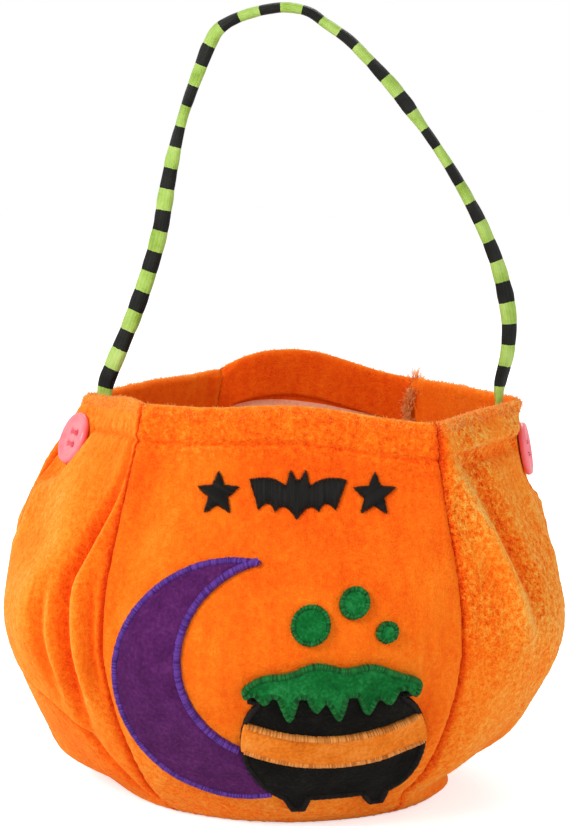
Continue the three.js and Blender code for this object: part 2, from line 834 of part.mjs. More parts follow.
// A button's frame. Its back clears the drawn-in cloth by the thread that passes under it.
function buttonFrame(seat) {
  const frame = frameOn(seat.point, seat.outward);
  frame.point.addScaledVector(frame.outward, 2 * touchGap + threadDiameter - buttonDraw);
  return frame;
}

// Materials, from the colours of the cloth, felt, ribbon and buttons.
const finish = (color, roughness) => new THREE.MeshStandardMaterial({ color, roughness });
const orangeVelour = finish(0xff7814, 0.9);
const blackAndLimeRibbon = finish(0xa5cd55, 0.45);
const plasticCore = finish(0xe8e4da, 0.5);
const pinkPlastic = finish(0xfa8287, 0.35);
const pinkThread = finish(0xd0606a, 0.7);
const purpleFelt = finish(0x501e55, 0.95);
const blackFelt = finish(0x14140f, 0.95);
const orangeFelt = finish(0xe8862a, 0.95);
const greenFelt = finish(0x147832, 0.95);
const blackThread = finish(0x16140f, 0.5);

const bag = new THREE.Group();

function add(name, geometry, material) {
  const mesh = new THREE.Mesh(geometry, material);
  mesh.name = name;
  bag.add(mesh);
}

for (const [name, panel] of Object.entries(panels)) {
  add(name, panelSolid(panel), orangeVelour);
}
add('base_panel', basePanel(), orangeVelour);
add('moon_patch', moonPatch(), purpleFelt);
add('pot_patch', potPatch(), blackFelt);
add('pot_band', bandPatch(), orangeFelt);
add('brew_patch', brewPatch(), greenFelt);
for (const [index, size] of ['large', 'middle', 'small'].entries()) {
  add(`${size}_bubble`, bubblePatch(index), greenFelt);
}
add('embroidered_bat', embroideredBat(), blackThread);
for (const [index, side] of ['left', 'right'].entries()) {
  add(`${side}_star`, embroideredStar(starPlaces[index]), blackThread);
}
for (const [index, side] of ['left', 'right'].entries()) {
  const frame = buttonFrame(buttonSeats[index]);
  add(`${side}_button`, seat(buttonSolid(), frame), pinkPlastic);
  add(`${side}_button_thread`, seat(buttonThread(), frame), pinkThread);
}
add('left_handle_end', handleEnd(leftPivot), blackAndLimeRibbon);
add('right_handle_end', handleEnd(rightPivot), blackAndLimeRibbon);
add('handle_core', handleCore(), plasticCore);
add('handle_ribbon', handleRibbon(), blackAndLimeRibbon);

export default bag;
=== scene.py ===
import json
import math

import bpy
import numpy as np
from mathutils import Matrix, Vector, geometry

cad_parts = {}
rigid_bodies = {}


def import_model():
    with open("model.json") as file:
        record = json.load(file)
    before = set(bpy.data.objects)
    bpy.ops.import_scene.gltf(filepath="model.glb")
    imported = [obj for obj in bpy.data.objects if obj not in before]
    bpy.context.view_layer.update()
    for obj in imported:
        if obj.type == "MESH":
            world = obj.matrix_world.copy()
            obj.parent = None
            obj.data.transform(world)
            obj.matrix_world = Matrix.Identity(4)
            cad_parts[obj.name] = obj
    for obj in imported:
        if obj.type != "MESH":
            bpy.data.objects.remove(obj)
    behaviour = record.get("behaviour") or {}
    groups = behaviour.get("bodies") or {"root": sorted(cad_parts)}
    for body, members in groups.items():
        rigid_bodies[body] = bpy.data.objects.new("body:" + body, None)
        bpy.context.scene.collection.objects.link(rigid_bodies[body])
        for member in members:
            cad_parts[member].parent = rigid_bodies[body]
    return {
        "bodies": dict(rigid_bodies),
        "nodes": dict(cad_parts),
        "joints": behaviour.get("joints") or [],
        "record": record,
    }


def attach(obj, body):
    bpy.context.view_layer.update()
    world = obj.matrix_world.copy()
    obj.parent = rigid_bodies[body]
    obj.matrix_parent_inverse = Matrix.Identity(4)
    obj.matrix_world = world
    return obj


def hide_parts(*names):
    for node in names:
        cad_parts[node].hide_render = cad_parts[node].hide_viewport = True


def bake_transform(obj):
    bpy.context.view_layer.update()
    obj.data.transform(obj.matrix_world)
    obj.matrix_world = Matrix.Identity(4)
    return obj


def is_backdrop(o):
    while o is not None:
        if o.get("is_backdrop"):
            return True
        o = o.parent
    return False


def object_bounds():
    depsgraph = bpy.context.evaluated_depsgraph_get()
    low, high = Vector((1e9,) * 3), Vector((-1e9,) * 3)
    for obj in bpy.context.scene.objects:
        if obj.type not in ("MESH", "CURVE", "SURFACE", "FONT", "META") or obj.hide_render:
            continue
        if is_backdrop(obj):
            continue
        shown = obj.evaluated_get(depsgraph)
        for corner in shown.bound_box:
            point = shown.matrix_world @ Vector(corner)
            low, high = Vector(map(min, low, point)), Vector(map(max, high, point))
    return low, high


# A small candy bag in the shape of a pumpkin: orange velour gores, felt appliques, a striped
# ribbon handle and two buttons. Shapes are worked out in millimetres, with +Z up and the front
# towards -Y, and turned into metres where a mesh is made.
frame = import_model()
cad_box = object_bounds()


# ---- The camera: a long lens a little above the bag and a little to its right, as in the photo.
target, distance = Vector((0.0, 0.0, 0.128)), 0.78
azimuth, elevation = math.radians(5.6), math.radians(8.5)
camera = bpy.data.objects.new("camera", bpy.data.cameras.new("camera"))
bpy.context.scene.collection.objects.link(camera)
camera.location = target + distance * Vector((
    math.sin(azimuth) * math.cos(elevation),
    -math.cos(azimuth) * math.cos(elevation),
    math.sin(elevation),
))
camera.rotation_euler = (target - camera.location).to_track_quat("-Z", "Y").to_euler()
camera.data.lens, camera.data.sensor_width = 100.2, 36.0
camera.data.clip_start = 0.05
bpy.context.scene.camera = camera


# ---- Velour: a knitted cloth with a short brushed pile, whose orange is painted deep red as shade in
# ---- the creases and goes to pale gold where the pile has been ruffled. Its back is a
# peach-coloured knit.
def colour(red, green, blue):
    """An sRGB colour from 0 to 255 as the linear colour that a shader takes."""
    values = np.array([red, green, blue]) / 255
    linear = np.where(values <= 0.04045, values / 12.92, ((values + 0.055) / 1.055) ** 2.4)
    return (*linear.tolist(), 1.0)


class Field:
    """A shader socket that can be added, multiplied and so on, which makes Math nodes."""

    def __init__(self, finish, socket):
        self.finish, self.socket = finish, socket

    def maths(self, operation, first, second=0.0):
        """The result of a Math node on two fields or numbers."""
        node = self.finish.node("ShaderNodeMath", {"operation": operation}, {0: first, 1: second})
        return Field(self.finish, node.outputs[0])

    def __add__(self, other):
        return self.maths("ADD", self, other)

    def __sub__(self, other):
        return self.maths("SUBTRACT", self, other)

    def __rsub__(self, other):
        return self.maths("SUBTRACT", other, self)

    def __mul__(self, other):
        return self.maths("MULTIPLY", self, other)

    def __mod__(self, other):
        return self.maths("FLOORED_MODULO", self, other)

    def less(self, other):
        """1 where the field is less than the other value and 0 elsewhere."""
        return self.maths("LESS_THAN", self, other)

    __radd__, __rmul__ = __add__, __mul__


class Nodes:
    """A node tree whose nodes are written as expressions."""

    def __init__(self, tree):
        self.tree = tree

    def plug(self, socket, value):
        """Links a field to a socket, or sets the socket to a plain value."""
        if isinstance(value, Field):
            self.tree.links.new(value.socket, socket)
        else:
            socket.default_value = value

    def node(self, kind, settings, sockets):
        """A node of that type with its settings and the values or links of its sockets."""
        node = self.tree.nodes.new(kind)
        for name, value in settings.items():
            setattr(node, name, value)
        for name, value in sockets.items():
            self.plug(node.inputs[name], value)
        return node


class Finish(Nodes):
    """A Principled material, with the shader sockets that stay the same all over."""

    def __init__(self, name, values):
        self.material = bpy.data.materials.new(name)
        self.material.use_nodes = True
        super().__init__(self.material.node_tree)
        self.shader = self.tree.nodes["Principled BSDF"]
        for socket, value in values.items():
            self.shader.inputs[socket].default_value = value

    def place(self):
        """Object coordinates, in metres."""
        return Field(self, self.node("ShaderNodeTexCoord", {}, {}).outputs["Object"])

    def stretched(self, scale, turn=(0, 0, 0)):
        """Object coordinates, turned and then scaled along each axis."""
        sockets = {"Vector": self.place(), "Scale": scale, "Rotation": turn}
        return Field(self, self.node("ShaderNodeMapping", {}, sockets).outputs[0])

    def noise(self, scale, detail=2.0, roughness=0.5, vector=None):
        """Noise from 0 to 1 on Object coordinates, or on another vector."""
        place = vector or self.place()
        sockets = {"Vector": place, "Scale": scale, "Detail": detail, "Roughness": roughness}
        return Field(self, self.node("ShaderNodeTexNoise", {}, sockets).outputs["Fac"])

    def measure(self, name):
        """A value stored at the mesh's points."""
        node = self.node("ShaderNodeAttribute", {"attribute_name": name}, {})
        return Field(self, node.outputs["Fac"])

    def ramp(self, factor, *stops):
        """A colour for each factor, from (position, colour) stops."""
        node = self.node("ShaderNodeValToRGB", {}, {"Fac": factor})
        elements = node.color_ramp.elements
        for position, _ in stops[2:]:
            elements.new(position)
        for element, (position, _) in zip(elements, stops):
            element.position = position
        for element, (_, shade) in zip(elements, stops):
            element.color = shade
        return Field(self, node.outputs["Color"])

    def mix(self, factor, first, second):
        """The first colour where the factor is 0 and the second where it is 1."""
        colour_inputs = {0: factor, 6: first, 7: second}
        node = self.node("ShaderNodeMix", {"data_type": "RGBA"}, colour_inputs)
        return Field(self, node.outputs[2])

    def bump(self, height, depth, below=None):
        """A bump of that depth in metres, over another bump if one is given."""
        sockets = {"Height": height, "Distance": depth, "Strength": 1.0}
        node = self.node("ShaderNodeBump", {}, sockets)
        if below:
            self.plug(node.inputs["Normal"], below)
        return Field(self, node.outputs["Normal"])

    def wear(self, **sockets):
        """Sets the shader's varying sockets, such as Base_Color, and gives the material."""
        for name, value in sockets.items():
            self.plug(self.shader.inputs[name.replace("_", " ")], value)
        return self.material


def velour_finish():
    """Its tone carries painted shade in seams, creases and inside, a painted highlight along the
    rim's edge and a painted sheen at grazing angles, and is lightest where ruffled.
    """
    cloth = Finish("velour", {
        "Sheen Weight": 0.14,
        "Sheen Roughness": 0.4,
        "Sheen Tint": colour(255, 170, 80),
        "Specular IOR Level": 0.1,
    })
    ruffled = cloth.measure("ruffled")
    painted_shading = cloth.measure("painted_shading")
    tufts = cloth.noise(620, 3.0, 0.6)
    pile = cloth.noise(1900, 2.0, 0.6)
    brushed = cloth.noise(55, 2.0, 0.5)
    streaks = cloth.noise(1.0, 2.0, 0.5, cloth.stretched((330, 330, 45)))
    weight = cloth.node("ShaderNodeLayerWeight", {}, {"Blend": 0.5})
    painted_grazing_sheen = Field(cloth, weight.outputs["Facing"])
    # The grazing term paints a sheen into the colour; the last term paints shade into seams,
    # creases and the inside, and a highlight along the rim's edge.
    tone = 0.31 + (tufts - 0.5) * (0.2 + ruffled * 1.6) + (pile - 0.5) * (0.35 + ruffled * 1.0)
    tone = tone + (brushed - 0.5) * 0.2 + (streaks - 0.5) * 0.25 + painted_grazing_sheen * 0.4 + ruffled * 0.14
    tone = tone - painted_shading * 0.4
    orange = cloth.ramp(
        tone,
        (0.0, colour(214, 50, 0)),
        (0.24, colour(242, 88, 4)),
        (0.46, colour(252, 118, 16)),
        (0.72, colour(255, 154, 46)),
        (1.0, colour(255, 190, 98)),
    )
    lie = cloth.bump(tufts * ruffled + streaks * 0.4, 0.0011)
    return cloth.wear(
        Base_Color=orange,
        Roughness=0.82 + (pile - 0.5) * 0.2,
        Normal=cloth.bump(pile, 0.00045, lie),
    )


def reverse_finish():
    """Fine flattened loops with soft paler patches."""
    knit = Finish("velour_reverse", {"Sheen Weight": 0.15, "Specular IOR Level": 0.2})
    loops = knit.noise(1.0, 1.0, 0.5, knit.stretched((1100, 1100, 620)))
    patches = knit.noise(90, 2.0, 0.5)
    peach = knit.ramp(
        loops * 0.6 + patches * 0.4,
        (0.25, colour(248, 162, 126)),
        (0.5, colour(254, 194, 160)),
        (0.75, colour(255, 216, 190)),
    )
    return knit.wear(
        Base_Color=peach,
        Roughness=0.9 + patches * 0.08,
        Normal=knit.bump(loops, 0.0004),
    )


velour = velour_finish()
reverse_cloth = reverse_finish()


# ---- The six gores: petals of velour sewn edge to edge, each a closed sheet whose top is folded
# ---- in as a stitched hem. The bag leans and twists a little, and the gores sag into soft folds.
base_size, belly_size, mouth_size = (112, 98), (184, 160), (150, 132)
belly_height, rim_height = 62, 134
cloth_thickness, hem_thickness, hem_depth, facing_depth = 1.6, 3.8, 12, 17
base_lift, top_station = 0.3, 0.9877
side_seam, front_seam, back_seam = 94.5, 39, 151
twist, mouth_shift = 4.2, 6.3
slip_angle, slip_station, slip_reach = 9, 0.72, 0.095
full_at, rim_fullness = 0.45, 0.13
# How far the handle pulls the mouth's left corner out and the rim before and behind it up, and
# the places and heights where it does.
left_flare, corner_lift, back_lift = 2.6, 4.9, 2.8
flare_place, flare_height, flare_end, flare_reach = (44, 64), (102, 116), (118, 133), 34
corner_place, corner_reach, corner_front = -43, (11, 24), (15, 35)
behind_place, behind_reach, behind_back, lift_height = -24, 15, (20, 40), (84, 124)


def smooth(value, low, high):
    """0 below low, 1 above high and a smooth S between."""
    share = np.clip((value - low) / (high - low), 0, 1)
    return share * share * (3 - 2 * share)


def bell(value, middle, reach):
    """1 at the middle, falling away on both sides as a bell curve of that reach."""
    return np.exp(-((value - middle) / reach) ** 2)


def unit(vectors):
    """Each vector at length 1."""
    return vectors / np.maximum(np.linalg.norm(vectors, axis=-1, keepdims=True), 1e-9)


def bezier(points, share):
    """A cubic Bezier curve through its four weighted control points."""
    a, b, c, d = (np.array(point, float) for point in points)
    t = np.asarray(share, float)[..., None]
    return (1 - t) ** 3 * a + 3 * (1 - t) ** 2 * t * b + 3 * (1 - t) * t * t * c + t ** 3 * d


def body_run(station):
    """Half the width, half the depth and the height, from the base (station 0) over the belly
    (0.5) to the rim (1): one Bezier curve below the belly and one above."""
    base = np.array([base_size[0] / 2, base_size[1] / 2, base_lift])
    belly = np.array([belly_size[0] / 2, belly_size[1] / 2, belly_height])
    rim = np.array([mouth_size[0] / 2, mouth_size[1] / 2, rim_height])
    flare = base + 0.66 * (belly - base)
    shoulder = rim + 0.34 * (belly - rim)
    rise = rim_height - belly_height
    flare[2], shoulder[2] = 0.23 * belly_height, belly_height + 0.52 * rise
    under_belly = [*belly[:2], 0.8 * belly_height]
    over_belly = [*belly[:2], belly_height + 0.4 * rise]
    lower = bezier([base, flare, under_belly, belly], np.clip(station * 2, 0, 1))
    upper = bezier([belly, over_belly, shoulder, rim], np.clip(station * 2 - 1, 0, 1))
    return np.where((station < 0.5)[..., None], lower, upper)


def station_at(height):
    """The station with that height, read off a fine table of the run."""
    table = np.linspace(0, 1, 4001)
    return float(np.interp(height, body_run(table)[:, 2], table))


def seam_line(angle, station, slips=True):
    """A seam's points and its outward directions. The point lies on an oval at an angle from the
    front, turned by the twist below the mouth; the mouth is moved to the right. The left side
    seam has slipped forwards above the belly, as a bell curve."""
    size = body_run(station)
    high = smooth(size[..., 2], belly_height, rim_height)
    slipped = slips and angle == -side_seam
    slip = slip_angle * bell(station, slip_station, slip_reach) if slipped else 0
    turned = np.radians(angle + slip + twist * (1 - high))
    point = np.stack([
        mouth_shift * high + size[..., 0] * np.sin(turned),
        -size[..., 1] * np.cos(turned),
        size[..., 2],
    ], -1)
    level = np.stack([np.cos(turned), np.sin(turned), 0 * turned], -1)
    return point, unit(np.cross(level, np.gradient(point, axis=0)))


def gore_plain(gore, across, station, slips=True):
    """A gore's face as cut: the chord between its two seams plus a parabola outwards, whose
    height is the oval's own sagitta times the gore's fullness, and a rise at its rim, which is a
    power of a sine and may lean to one side by a second sine. The mouth's left corner, where the
    handle pulls, is moved outwards, and the ones before and behind it upwards, by products of S
    shares and bell curves."""
    swell = np.where(
        station < 0.5,
        1 + (gore["fullness"] - 1) * smooth(station, 0, full_at),
        gore["fullness"] + (rim_fullness - gore["fullness"]) * smooth(station, 0.5, 1),
    )
    first, _ = seam_line(gore["seams"][0], station, slips)
    second, _ = seam_line(gore["seams"][1], station, slips)
    middle, _ = seam_line(sum(gore["seams"]) / 2, station)
    out = unit(np.stack([second[:, 1] - first[:, 1], first[:, 0] - second[:, 0], 0 * swell], -1))
    sagitta = np.sum((middle - first) * out, -1) * swell
    u = across[None, :, None]
    points = first[:, None] * (1 - u) + second[:, None] * u
    points = points + (out * sagitta[:, None])[:, None] * (4 * u * (1 - u))
    rim = gore["rise"] * np.clip(np.sin(np.pi * across), 0, 1) ** gore.get("power", 2)
    rim = rim - gore.get("shift", 0) * np.sin(2 * np.pi * across)
    points[..., 2] += rim * smooth(station, 0.75, 1)[:, None]
    x, y, z = np.moveaxis(points, -1, 0)
    corner = smooth(-x, *flare_place) * smooth(z, *flare_height) * bell(y, 0, flare_reach)
    points[..., 0] -= left_flare * corner * (1 - 0.85 * smooth(z, *flare_end))
    reach = np.where(x < corner_place, *corner_reach)
    pulled = bell(x, corner_place, reach) * smooth(-y, *corner_front)
    behind = bell(x, behind_place, behind_reach) * smooth(y, *behind_back)
    points[..., 2] += (corner_lift * pulled + back_lift * behind) * smooth(z, *lift_height)
    return points


def face_normals(points):
    """Outward unit normals of a grid whose columns run to the right and whose rows run up."""
    return unit(np.cross(np.gradient(points, axis=1), np.gradient(points, axis=0)))


# Each gore's flat size and area, in metres, are those of its pattern piece.
gores = {
    "front_gore": dict(
        node="front_panel", seams=(-front_seam, front_seam), fullness=1.2, rise=5,
        ruffled=0.12, columns=208, flat=(0.1375, 0.180), area=0.0200),
    "front_right_gore": dict(
        node="front_right_panel", seams=(front_seam, side_seam), fullness=1.5, rise=0.6,
        ruffled=0.95, columns=160, flat=(0.0956, 0.179), area=0.0140),
    "back_right_gore": dict(
        node="back_right_panel", seams=(side_seam, back_seam), fullness=1.5, rise=0.5,
        ruffled=0.6, columns=128, flat=(0.0995, 0.179), area=0.0145),
    "back_gore": dict(
        node="back_panel", seams=(back_seam, 360 - back_seam), fullness=1.4,
        rise=9, power=1.3, shift=2, ruffled=0.4, columns=136, flat=(0.1067, 0.181), area=0.0159),
    "back_left_gore": dict(
        node="back_left_panel", seams=(-back_seam, -side_seam), fullness=1.5, rise=1.8,
        ruffled=0.35, columns=128, flat=(0.0983, 0.179), area=0.0147),
    "front_left_gore": dict(
        node="front_left_panel", seams=(-side_seam, -front_seam), fullness=1.5, rise=2.6,
        ruffled=0.3, columns=160, flat=(0.0965, 0.179), area=0.0144),
}


def button_seat(name, across, below, turn, over_seam=None):
    """The point on a gore as cut where a button is sewn, so far below the rim, and its outward
    direction, turned towards the front by a share. Over a seam it is the mean direction of the
    gores on both sides."""
    around = np.array([-0.004, 0, 0.004])
    station = station_at(rim_height - below) + around
    points = gore_plain(gores[name], across + around, station, slips=False)
    out = face_normals(points)[1, 1]
    if over_seam:
        points = gore_plain(gores[over_seam], around, station, slips=False)
        out = unit(out + face_normals(points)[1, 1])
    return points[1, 1], unit(out + turn * np.array([0.0, -1.0, 0.0]))


# How far a button draws the cloth in and how far round it that shows; then the distances between
# which it lets the slack go, and between which the cloth stops being pressed flat.
button_draw, button_reach = 2.4, 18
slack_held, pressed_beside, pressed_near = (11.6, 19), (9.6, 19), (16, 24)
button_rests = {"left": -0.6, "right": -4.0}
button_seats = {
    "left": button_seat("front_left_gore", 15 / 76.4, 15.5, 0.2),
    "right": button_seat("front_right_gore", 1.0, 17.5, 0.16, "back_right_gore"),
}
# How far the left side sags and at what height, how far the cloth slumps over the base on the
# left and how much further on the right, its two low bulges, and how far back all this reaches.
left_sag, sag_height, slump_left, slump_added = 7, 103, 4, 8
low_left_bulge, low_right_bulge, slack_reach = 5.8, 6.5, 36


def slack_at(points):
    """How far slack cloth lies to the left: the left side sags out above the belly, and below it
    the bag slumps over its base, more on the right, and bulges low on the left and the right.
    Each is a product of bell curves and smooth shares."""
    x, y, z = np.moveaxis(points, -1, 0)
    rightward = smooth(x, -36, 36)
    sag = left_sag * (1 - rightward) * bell(z, sag_height, np.where(z > sag_height, 19, 26))
    slump = (slump_left + slump_added * rightward) * smooth(z, 3.4, 10) * bell(z, 5, 11)
    low_left = (1 - smooth(x, -50, -20)) * smooth(z, -1, 6) * bell(z, 14, np.where(z > 14, 20, 15))
    low_right = smooth(x, 20, 48) * (1 - smooth(z, 11, 22)) * bell(y, 12, 26)
    slump = slump + low_left_bulge * low_left + low_right_bulge * low_right
    return (sag + slump) * bell(y, 0, slack_reach)


def drawn_in(cut):
    """The cloth as cut moved by its slack, and moved in by up to the buttons' draw, which holds
    the slack too. Both fade by a smooth share of the distance from the button, and right under
    the button the cloth is pressed flat."""
    points, slack = cut.copy(), slack_at(cut)
    for side, (seat, out) in button_seats.items():
        near = np.linalg.norm(cut - seat, axis=-1)
        draw = button_draw * (1 - smooth(near, button_reach / 3, button_reach))
        points -= out * draw[..., None]
        slack = slack * smooth(near, *slack_held)
        height = (points - seat) @ out
        beside = np.linalg.norm(points - seat - height[..., None] * out, axis=-1)
        pressed = (1 - smooth(beside, *pressed_beside)) * (1 - smooth(near, *pressed_near))
        points += out * ((button_rests[side] - height) * pressed)[..., None]
    points[..., 0] -= slack
    return points


def cloth_noise(x, y, cell, seed):
    """Smooth random heights from -1 to 1: random values on a square lattice of that cell,
    blended between the four corners round each point by smooth steps."""
    side = 97
    table = np.random.default_rng(seed).uniform(-1, 1, (side, side))
    column, row = np.floor(x / cell).astype(int), np.floor(y / cell).astype(int)
    fx, fy = smooth(x / cell - column, 0, 1), smooth(y / cell - row, 0, 1)
    corner = lambda down, right: table[(row + down) % side, (column + right) % side]
    low = corner(0, 0) * (1 - fx) + corner(0, 1) * fx
    high = corner(1, 0) * (1 - fx) + corner(1, 1) * fx
    return low * (1 - fy) + high * fy


def fold(across, station, width, path, size, height):
    """A ridge or a valley along a path of (station, across) points, averaged over five nearby
    stations: a bell curve across it of that size in millimetres, which fades at its two ends."""
    stations, places = np.array(path).T
    steps = (-0.05, -0.02, 0, 0.02, 0.05)
    centre = sum(np.interp(station + step, stations, places) for step in steps) / len(steps)
    end = 0.25 * (stations[-1] - stations[0])
    fade = smooth(station, stations[0] - end, stations[0] + end)
    fade = fade * (1 - smooth(station, stations[-1] - end, stations[-1] + end))
    return height * fade * bell((across - centre) * width, 0, size)


# Each fold: its path of (station, across) points, its size and its height in millimetres.
gore_folds = {
    "front_gore": [
        ([(0.55, 0.03), (0.75, 0.07), (0.93, 0.08)], 5.0, -0.9),
        ([(0.45, 0.10), (0.7, 0.16), (0.92, 0.17)], 8.0, 1.0),
        ([(0.10, 0.86), (0.3, 0.90), (0.5, 0.93)], 6.0, -1.0),
    ],
    "front_left_gore": [
        ([(0.50, 0.60), (0.67, 0.66), (0.787, 0.60), (0.9, 0.58)], 10.0, 2.4),
        ([(0.34, 0.74), (0.45, 0.72), (0.60, 0.71)], 3.6, -2.4),
        ([(0.30, 0.79), (0.45, 0.785), (0.60, 0.76)], 3.0, 1.3),
        ([(0.26, 0.83), (0.435, 0.86), (0.545, 0.845), (0.633, 0.80), (0.728, 0.84),
          (0.90, 0.97)], 3.2, -3.9),
        ([(0.34, 0.925), (0.527, 0.915), (0.66, 0.875), (0.80, 0.945)], 3.0, 2.8),
        ([(0.34, 0.975), (0.51, 0.965), (0.62, 0.945)], 2.2, -2.0),
        ([(0.62, 0.13), (0.72, 0.16), (0.83, 0.20)], 5.0, 1.2),
    ],
    "front_right_gore": [
        ([(0.50, 0.27), (0.61, 0.23), (0.74, 0.205), (0.84, 0.16), (0.93, 0.05)], 4.6, 3.2),
        ([(0.58, 0.35), (0.68, 0.33), (0.82, 0.33), (0.92, 0.26)], 5.5, -2.8),
        ([(0.60, 0.70), (0.75, 0.72), (0.88, 0.80)], 7.0, 1.4),
        ([(0.10, 0.10), (0.3, 0.16), (0.48, 0.20)], 7.0, 1.0),
        ([(0.05, 0.40), (0.25, 0.45), (0.45, 0.42)], 6.0, -0.9),
    ],
    "back_right_gore": [
        ([(0.35, 0.30), (0.6, 0.36), (0.9, 0.34)], 7.0, -1.8),
        ([(0.30, 0.70), (0.55, 0.66), (0.85, 0.70)], 9.0, 1.6),
    ],
    "back_gore": [
        ([(0.40, 0.35), (0.65, 0.32), (0.92, 0.36)], 8.0, -1.5),
        ([(0.35, 0.72), (0.6, 0.70), (0.9, 0.66)], 8.0, 1.6),
    ],
    "back_left_gore": [
        ([(0.35, 0.66), (0.6, 0.60), (0.9, 0.64)], 7.0, -1.8),
        ([(0.30, 0.28), (0.55, 0.32), (0.85, 0.30)], 9.0, 1.5),
        ([(0.60, 0.86), (0.76, 0.84), (0.88, 0.88)], 8.0, 3.2),
    ],
}


def tuck(across, station, width):
    """The left gore's slack, which folds under from its side down to the base: a valley along a
    slanting path, and everything below it set in."""
    path = [(0.0, 0.92), (0.115, 0.875), (0.223, 0.77), (0.268, 0.66), (0.31, 0.5), (0.40, 0.1)]
    centre = np.interp(station, *np.array(path).T)
    from_fold = (across - centre) * width
    fade = 1 - smooth(station, 0.33, 0.42)
    valley, set_in = -3.2 * bell(from_fold, 0, 3.0), 1.6 * (1 - smooth(from_fold, -6, 1))
    return fade * smooth(across, 0.2, 0.6) * (valley - set_in)


def rolled_seam(distance):
    """How far the pile rolls down into a seam, as a quarter of an ellipse."""
    width, depth = 3.4, 2.2
    share = np.clip(1 - distance / width, 0, 1)
    return -depth * (1 - np.sqrt(1 - share ** 2))


def gore_rows():
    """Stations of a gore's rows, close together at the hem, and the angles of the rim's fold."""
    hem, facing = station_at(rim_height - hem_depth), station_at(rim_height - facing_depth)
    stations = np.concatenate([
        np.linspace(0, facing - 0.008, 200, endpoint=False),
        np.linspace(facing - 0.008, facing + 0.004, 7, endpoint=False),
        np.linspace(facing + 0.004, hem - 0.012, 5, endpoint=False),
        np.linspace(hem - 0.012, hem + 0.012, 14, endpoint=False),
        np.linspace(hem + 0.012, top_station, 16),
    ])
    fold_angles = np.radians([18, 36, 54, 70, 82])
    angles = np.append(np.zeros(len(stations)), fold_angles)
    return np.append(stations, np.full(len(fold_angles), top_station)), angles


def grid_faces(rows, columns, start=0, flip=False, wrap=False):
    """Quads of a grid of points numbered along its rows, closed round if it wraps."""
    index = np.arange(rows * columns).reshape(rows, columns) + start
    if wrap:
        index = np.concatenate([index, index[:, :1]], 1)
    a, b, c, d = index[:-1, :-1], index[:-1, 1:], index[1:, 1:], index[1:, :-1]
    order = (a, d, c, b) if flip else (a, b, c, d)
    return np.stack(order, -1).reshape(-1, 4)


def fan(middle, ring, flip=False):
    """Triangles from a point in the middle to each side of a ring of points round it."""
    following = np.roll(ring, -1)
    sides = (following, ring) if flip else (ring, following)
    return np.stack([np.full(len(ring), middle), *sides], -1)


def zip_faces(fine, coarse):
    """Triangles between a row of points and another with a quarter as many steps."""
    ends = np.stack([coarse[:-1], coarse[1:]], -1)
    run = fine[:-1].reshape(-1, 4)
    last = fine[4::4]
    return np.concatenate([
        np.stack([run[:, 0], run[:, 1], ends[:, 0]], -1),
        np.stack([run[:, 1], run[:, 2], ends[:, 0]], -1),
        np.stack([run[:, 2], ends[:, 1], ends[:, 0]], -1),
        np.stack([run[:, 2], run[:, 3], ends[:, 1]], -1),
        np.stack([run[:, 3], last, ends[:, 1]], -1),
    ])


def add_piece(name, points, groups, materials, measures=None, body="bag"):
    """Makes a piece of points in millimetres and groups of (faces, material number), with values
    stored at its points, and lets it ride on a body."""
    mesh = bpy.data.meshes.new(name)
    corners = np.concatenate([faces.ravel() for faces, _ in groups]).astype(np.int32)
    sides = np.concatenate([np.full(len(faces), faces.shape[1]) for faces, _ in groups])
    slots = np.concatenate([np.full(len(faces), slot) for faces, slot in groups])
    mesh.vertices.add(len(points))
    mesh.vertices.foreach_set("co", (np.asarray(points, float) * 0.001).ravel())
    mesh.loops.add(len(corners))
    mesh.loops.foreach_set("vertex_index", corners)
    mesh.polygons.add(len(sides))
    mesh.polygons.foreach_set("loop_start", np.append(0, np.cumsum(sides)[:-1]).astype(np.int32))
    mesh.polygons.foreach_set("material_index", slots.astype(np.int32))
    mesh.polygons.foreach_set("use_smooth", np.ones(len(sides), bool))
    for label, values in (measures or {}).items():
        attribute = mesh.attributes.new(label, "FLOAT", "POINT")
        attribute.data.foreach_set("value", np.asarray(values, np.float32).ravel())
    for material in materials:
        mesh.materials.append(material)
    mesh.update(calc_edges=True)
    piece = bpy.data.objects.new(name, mesh)
    bpy.context.scene.collection.objects.link(piece)
    if body:
        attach(piece, body)
    return piece


# Heights in millimetres: of the cloth's slow and quick waves, of the hem's puff and its stitched
# groove, and of the ridge and the valley under the hem of the right gore.
slow_wave, quick_wave, hem_puff, groove_depth = 0.9, 0.28, 0.5, 0.9
ridge_height, ridge_place, valley_depth, valley_place = 1.6, 9.5, 2.2, 14.5


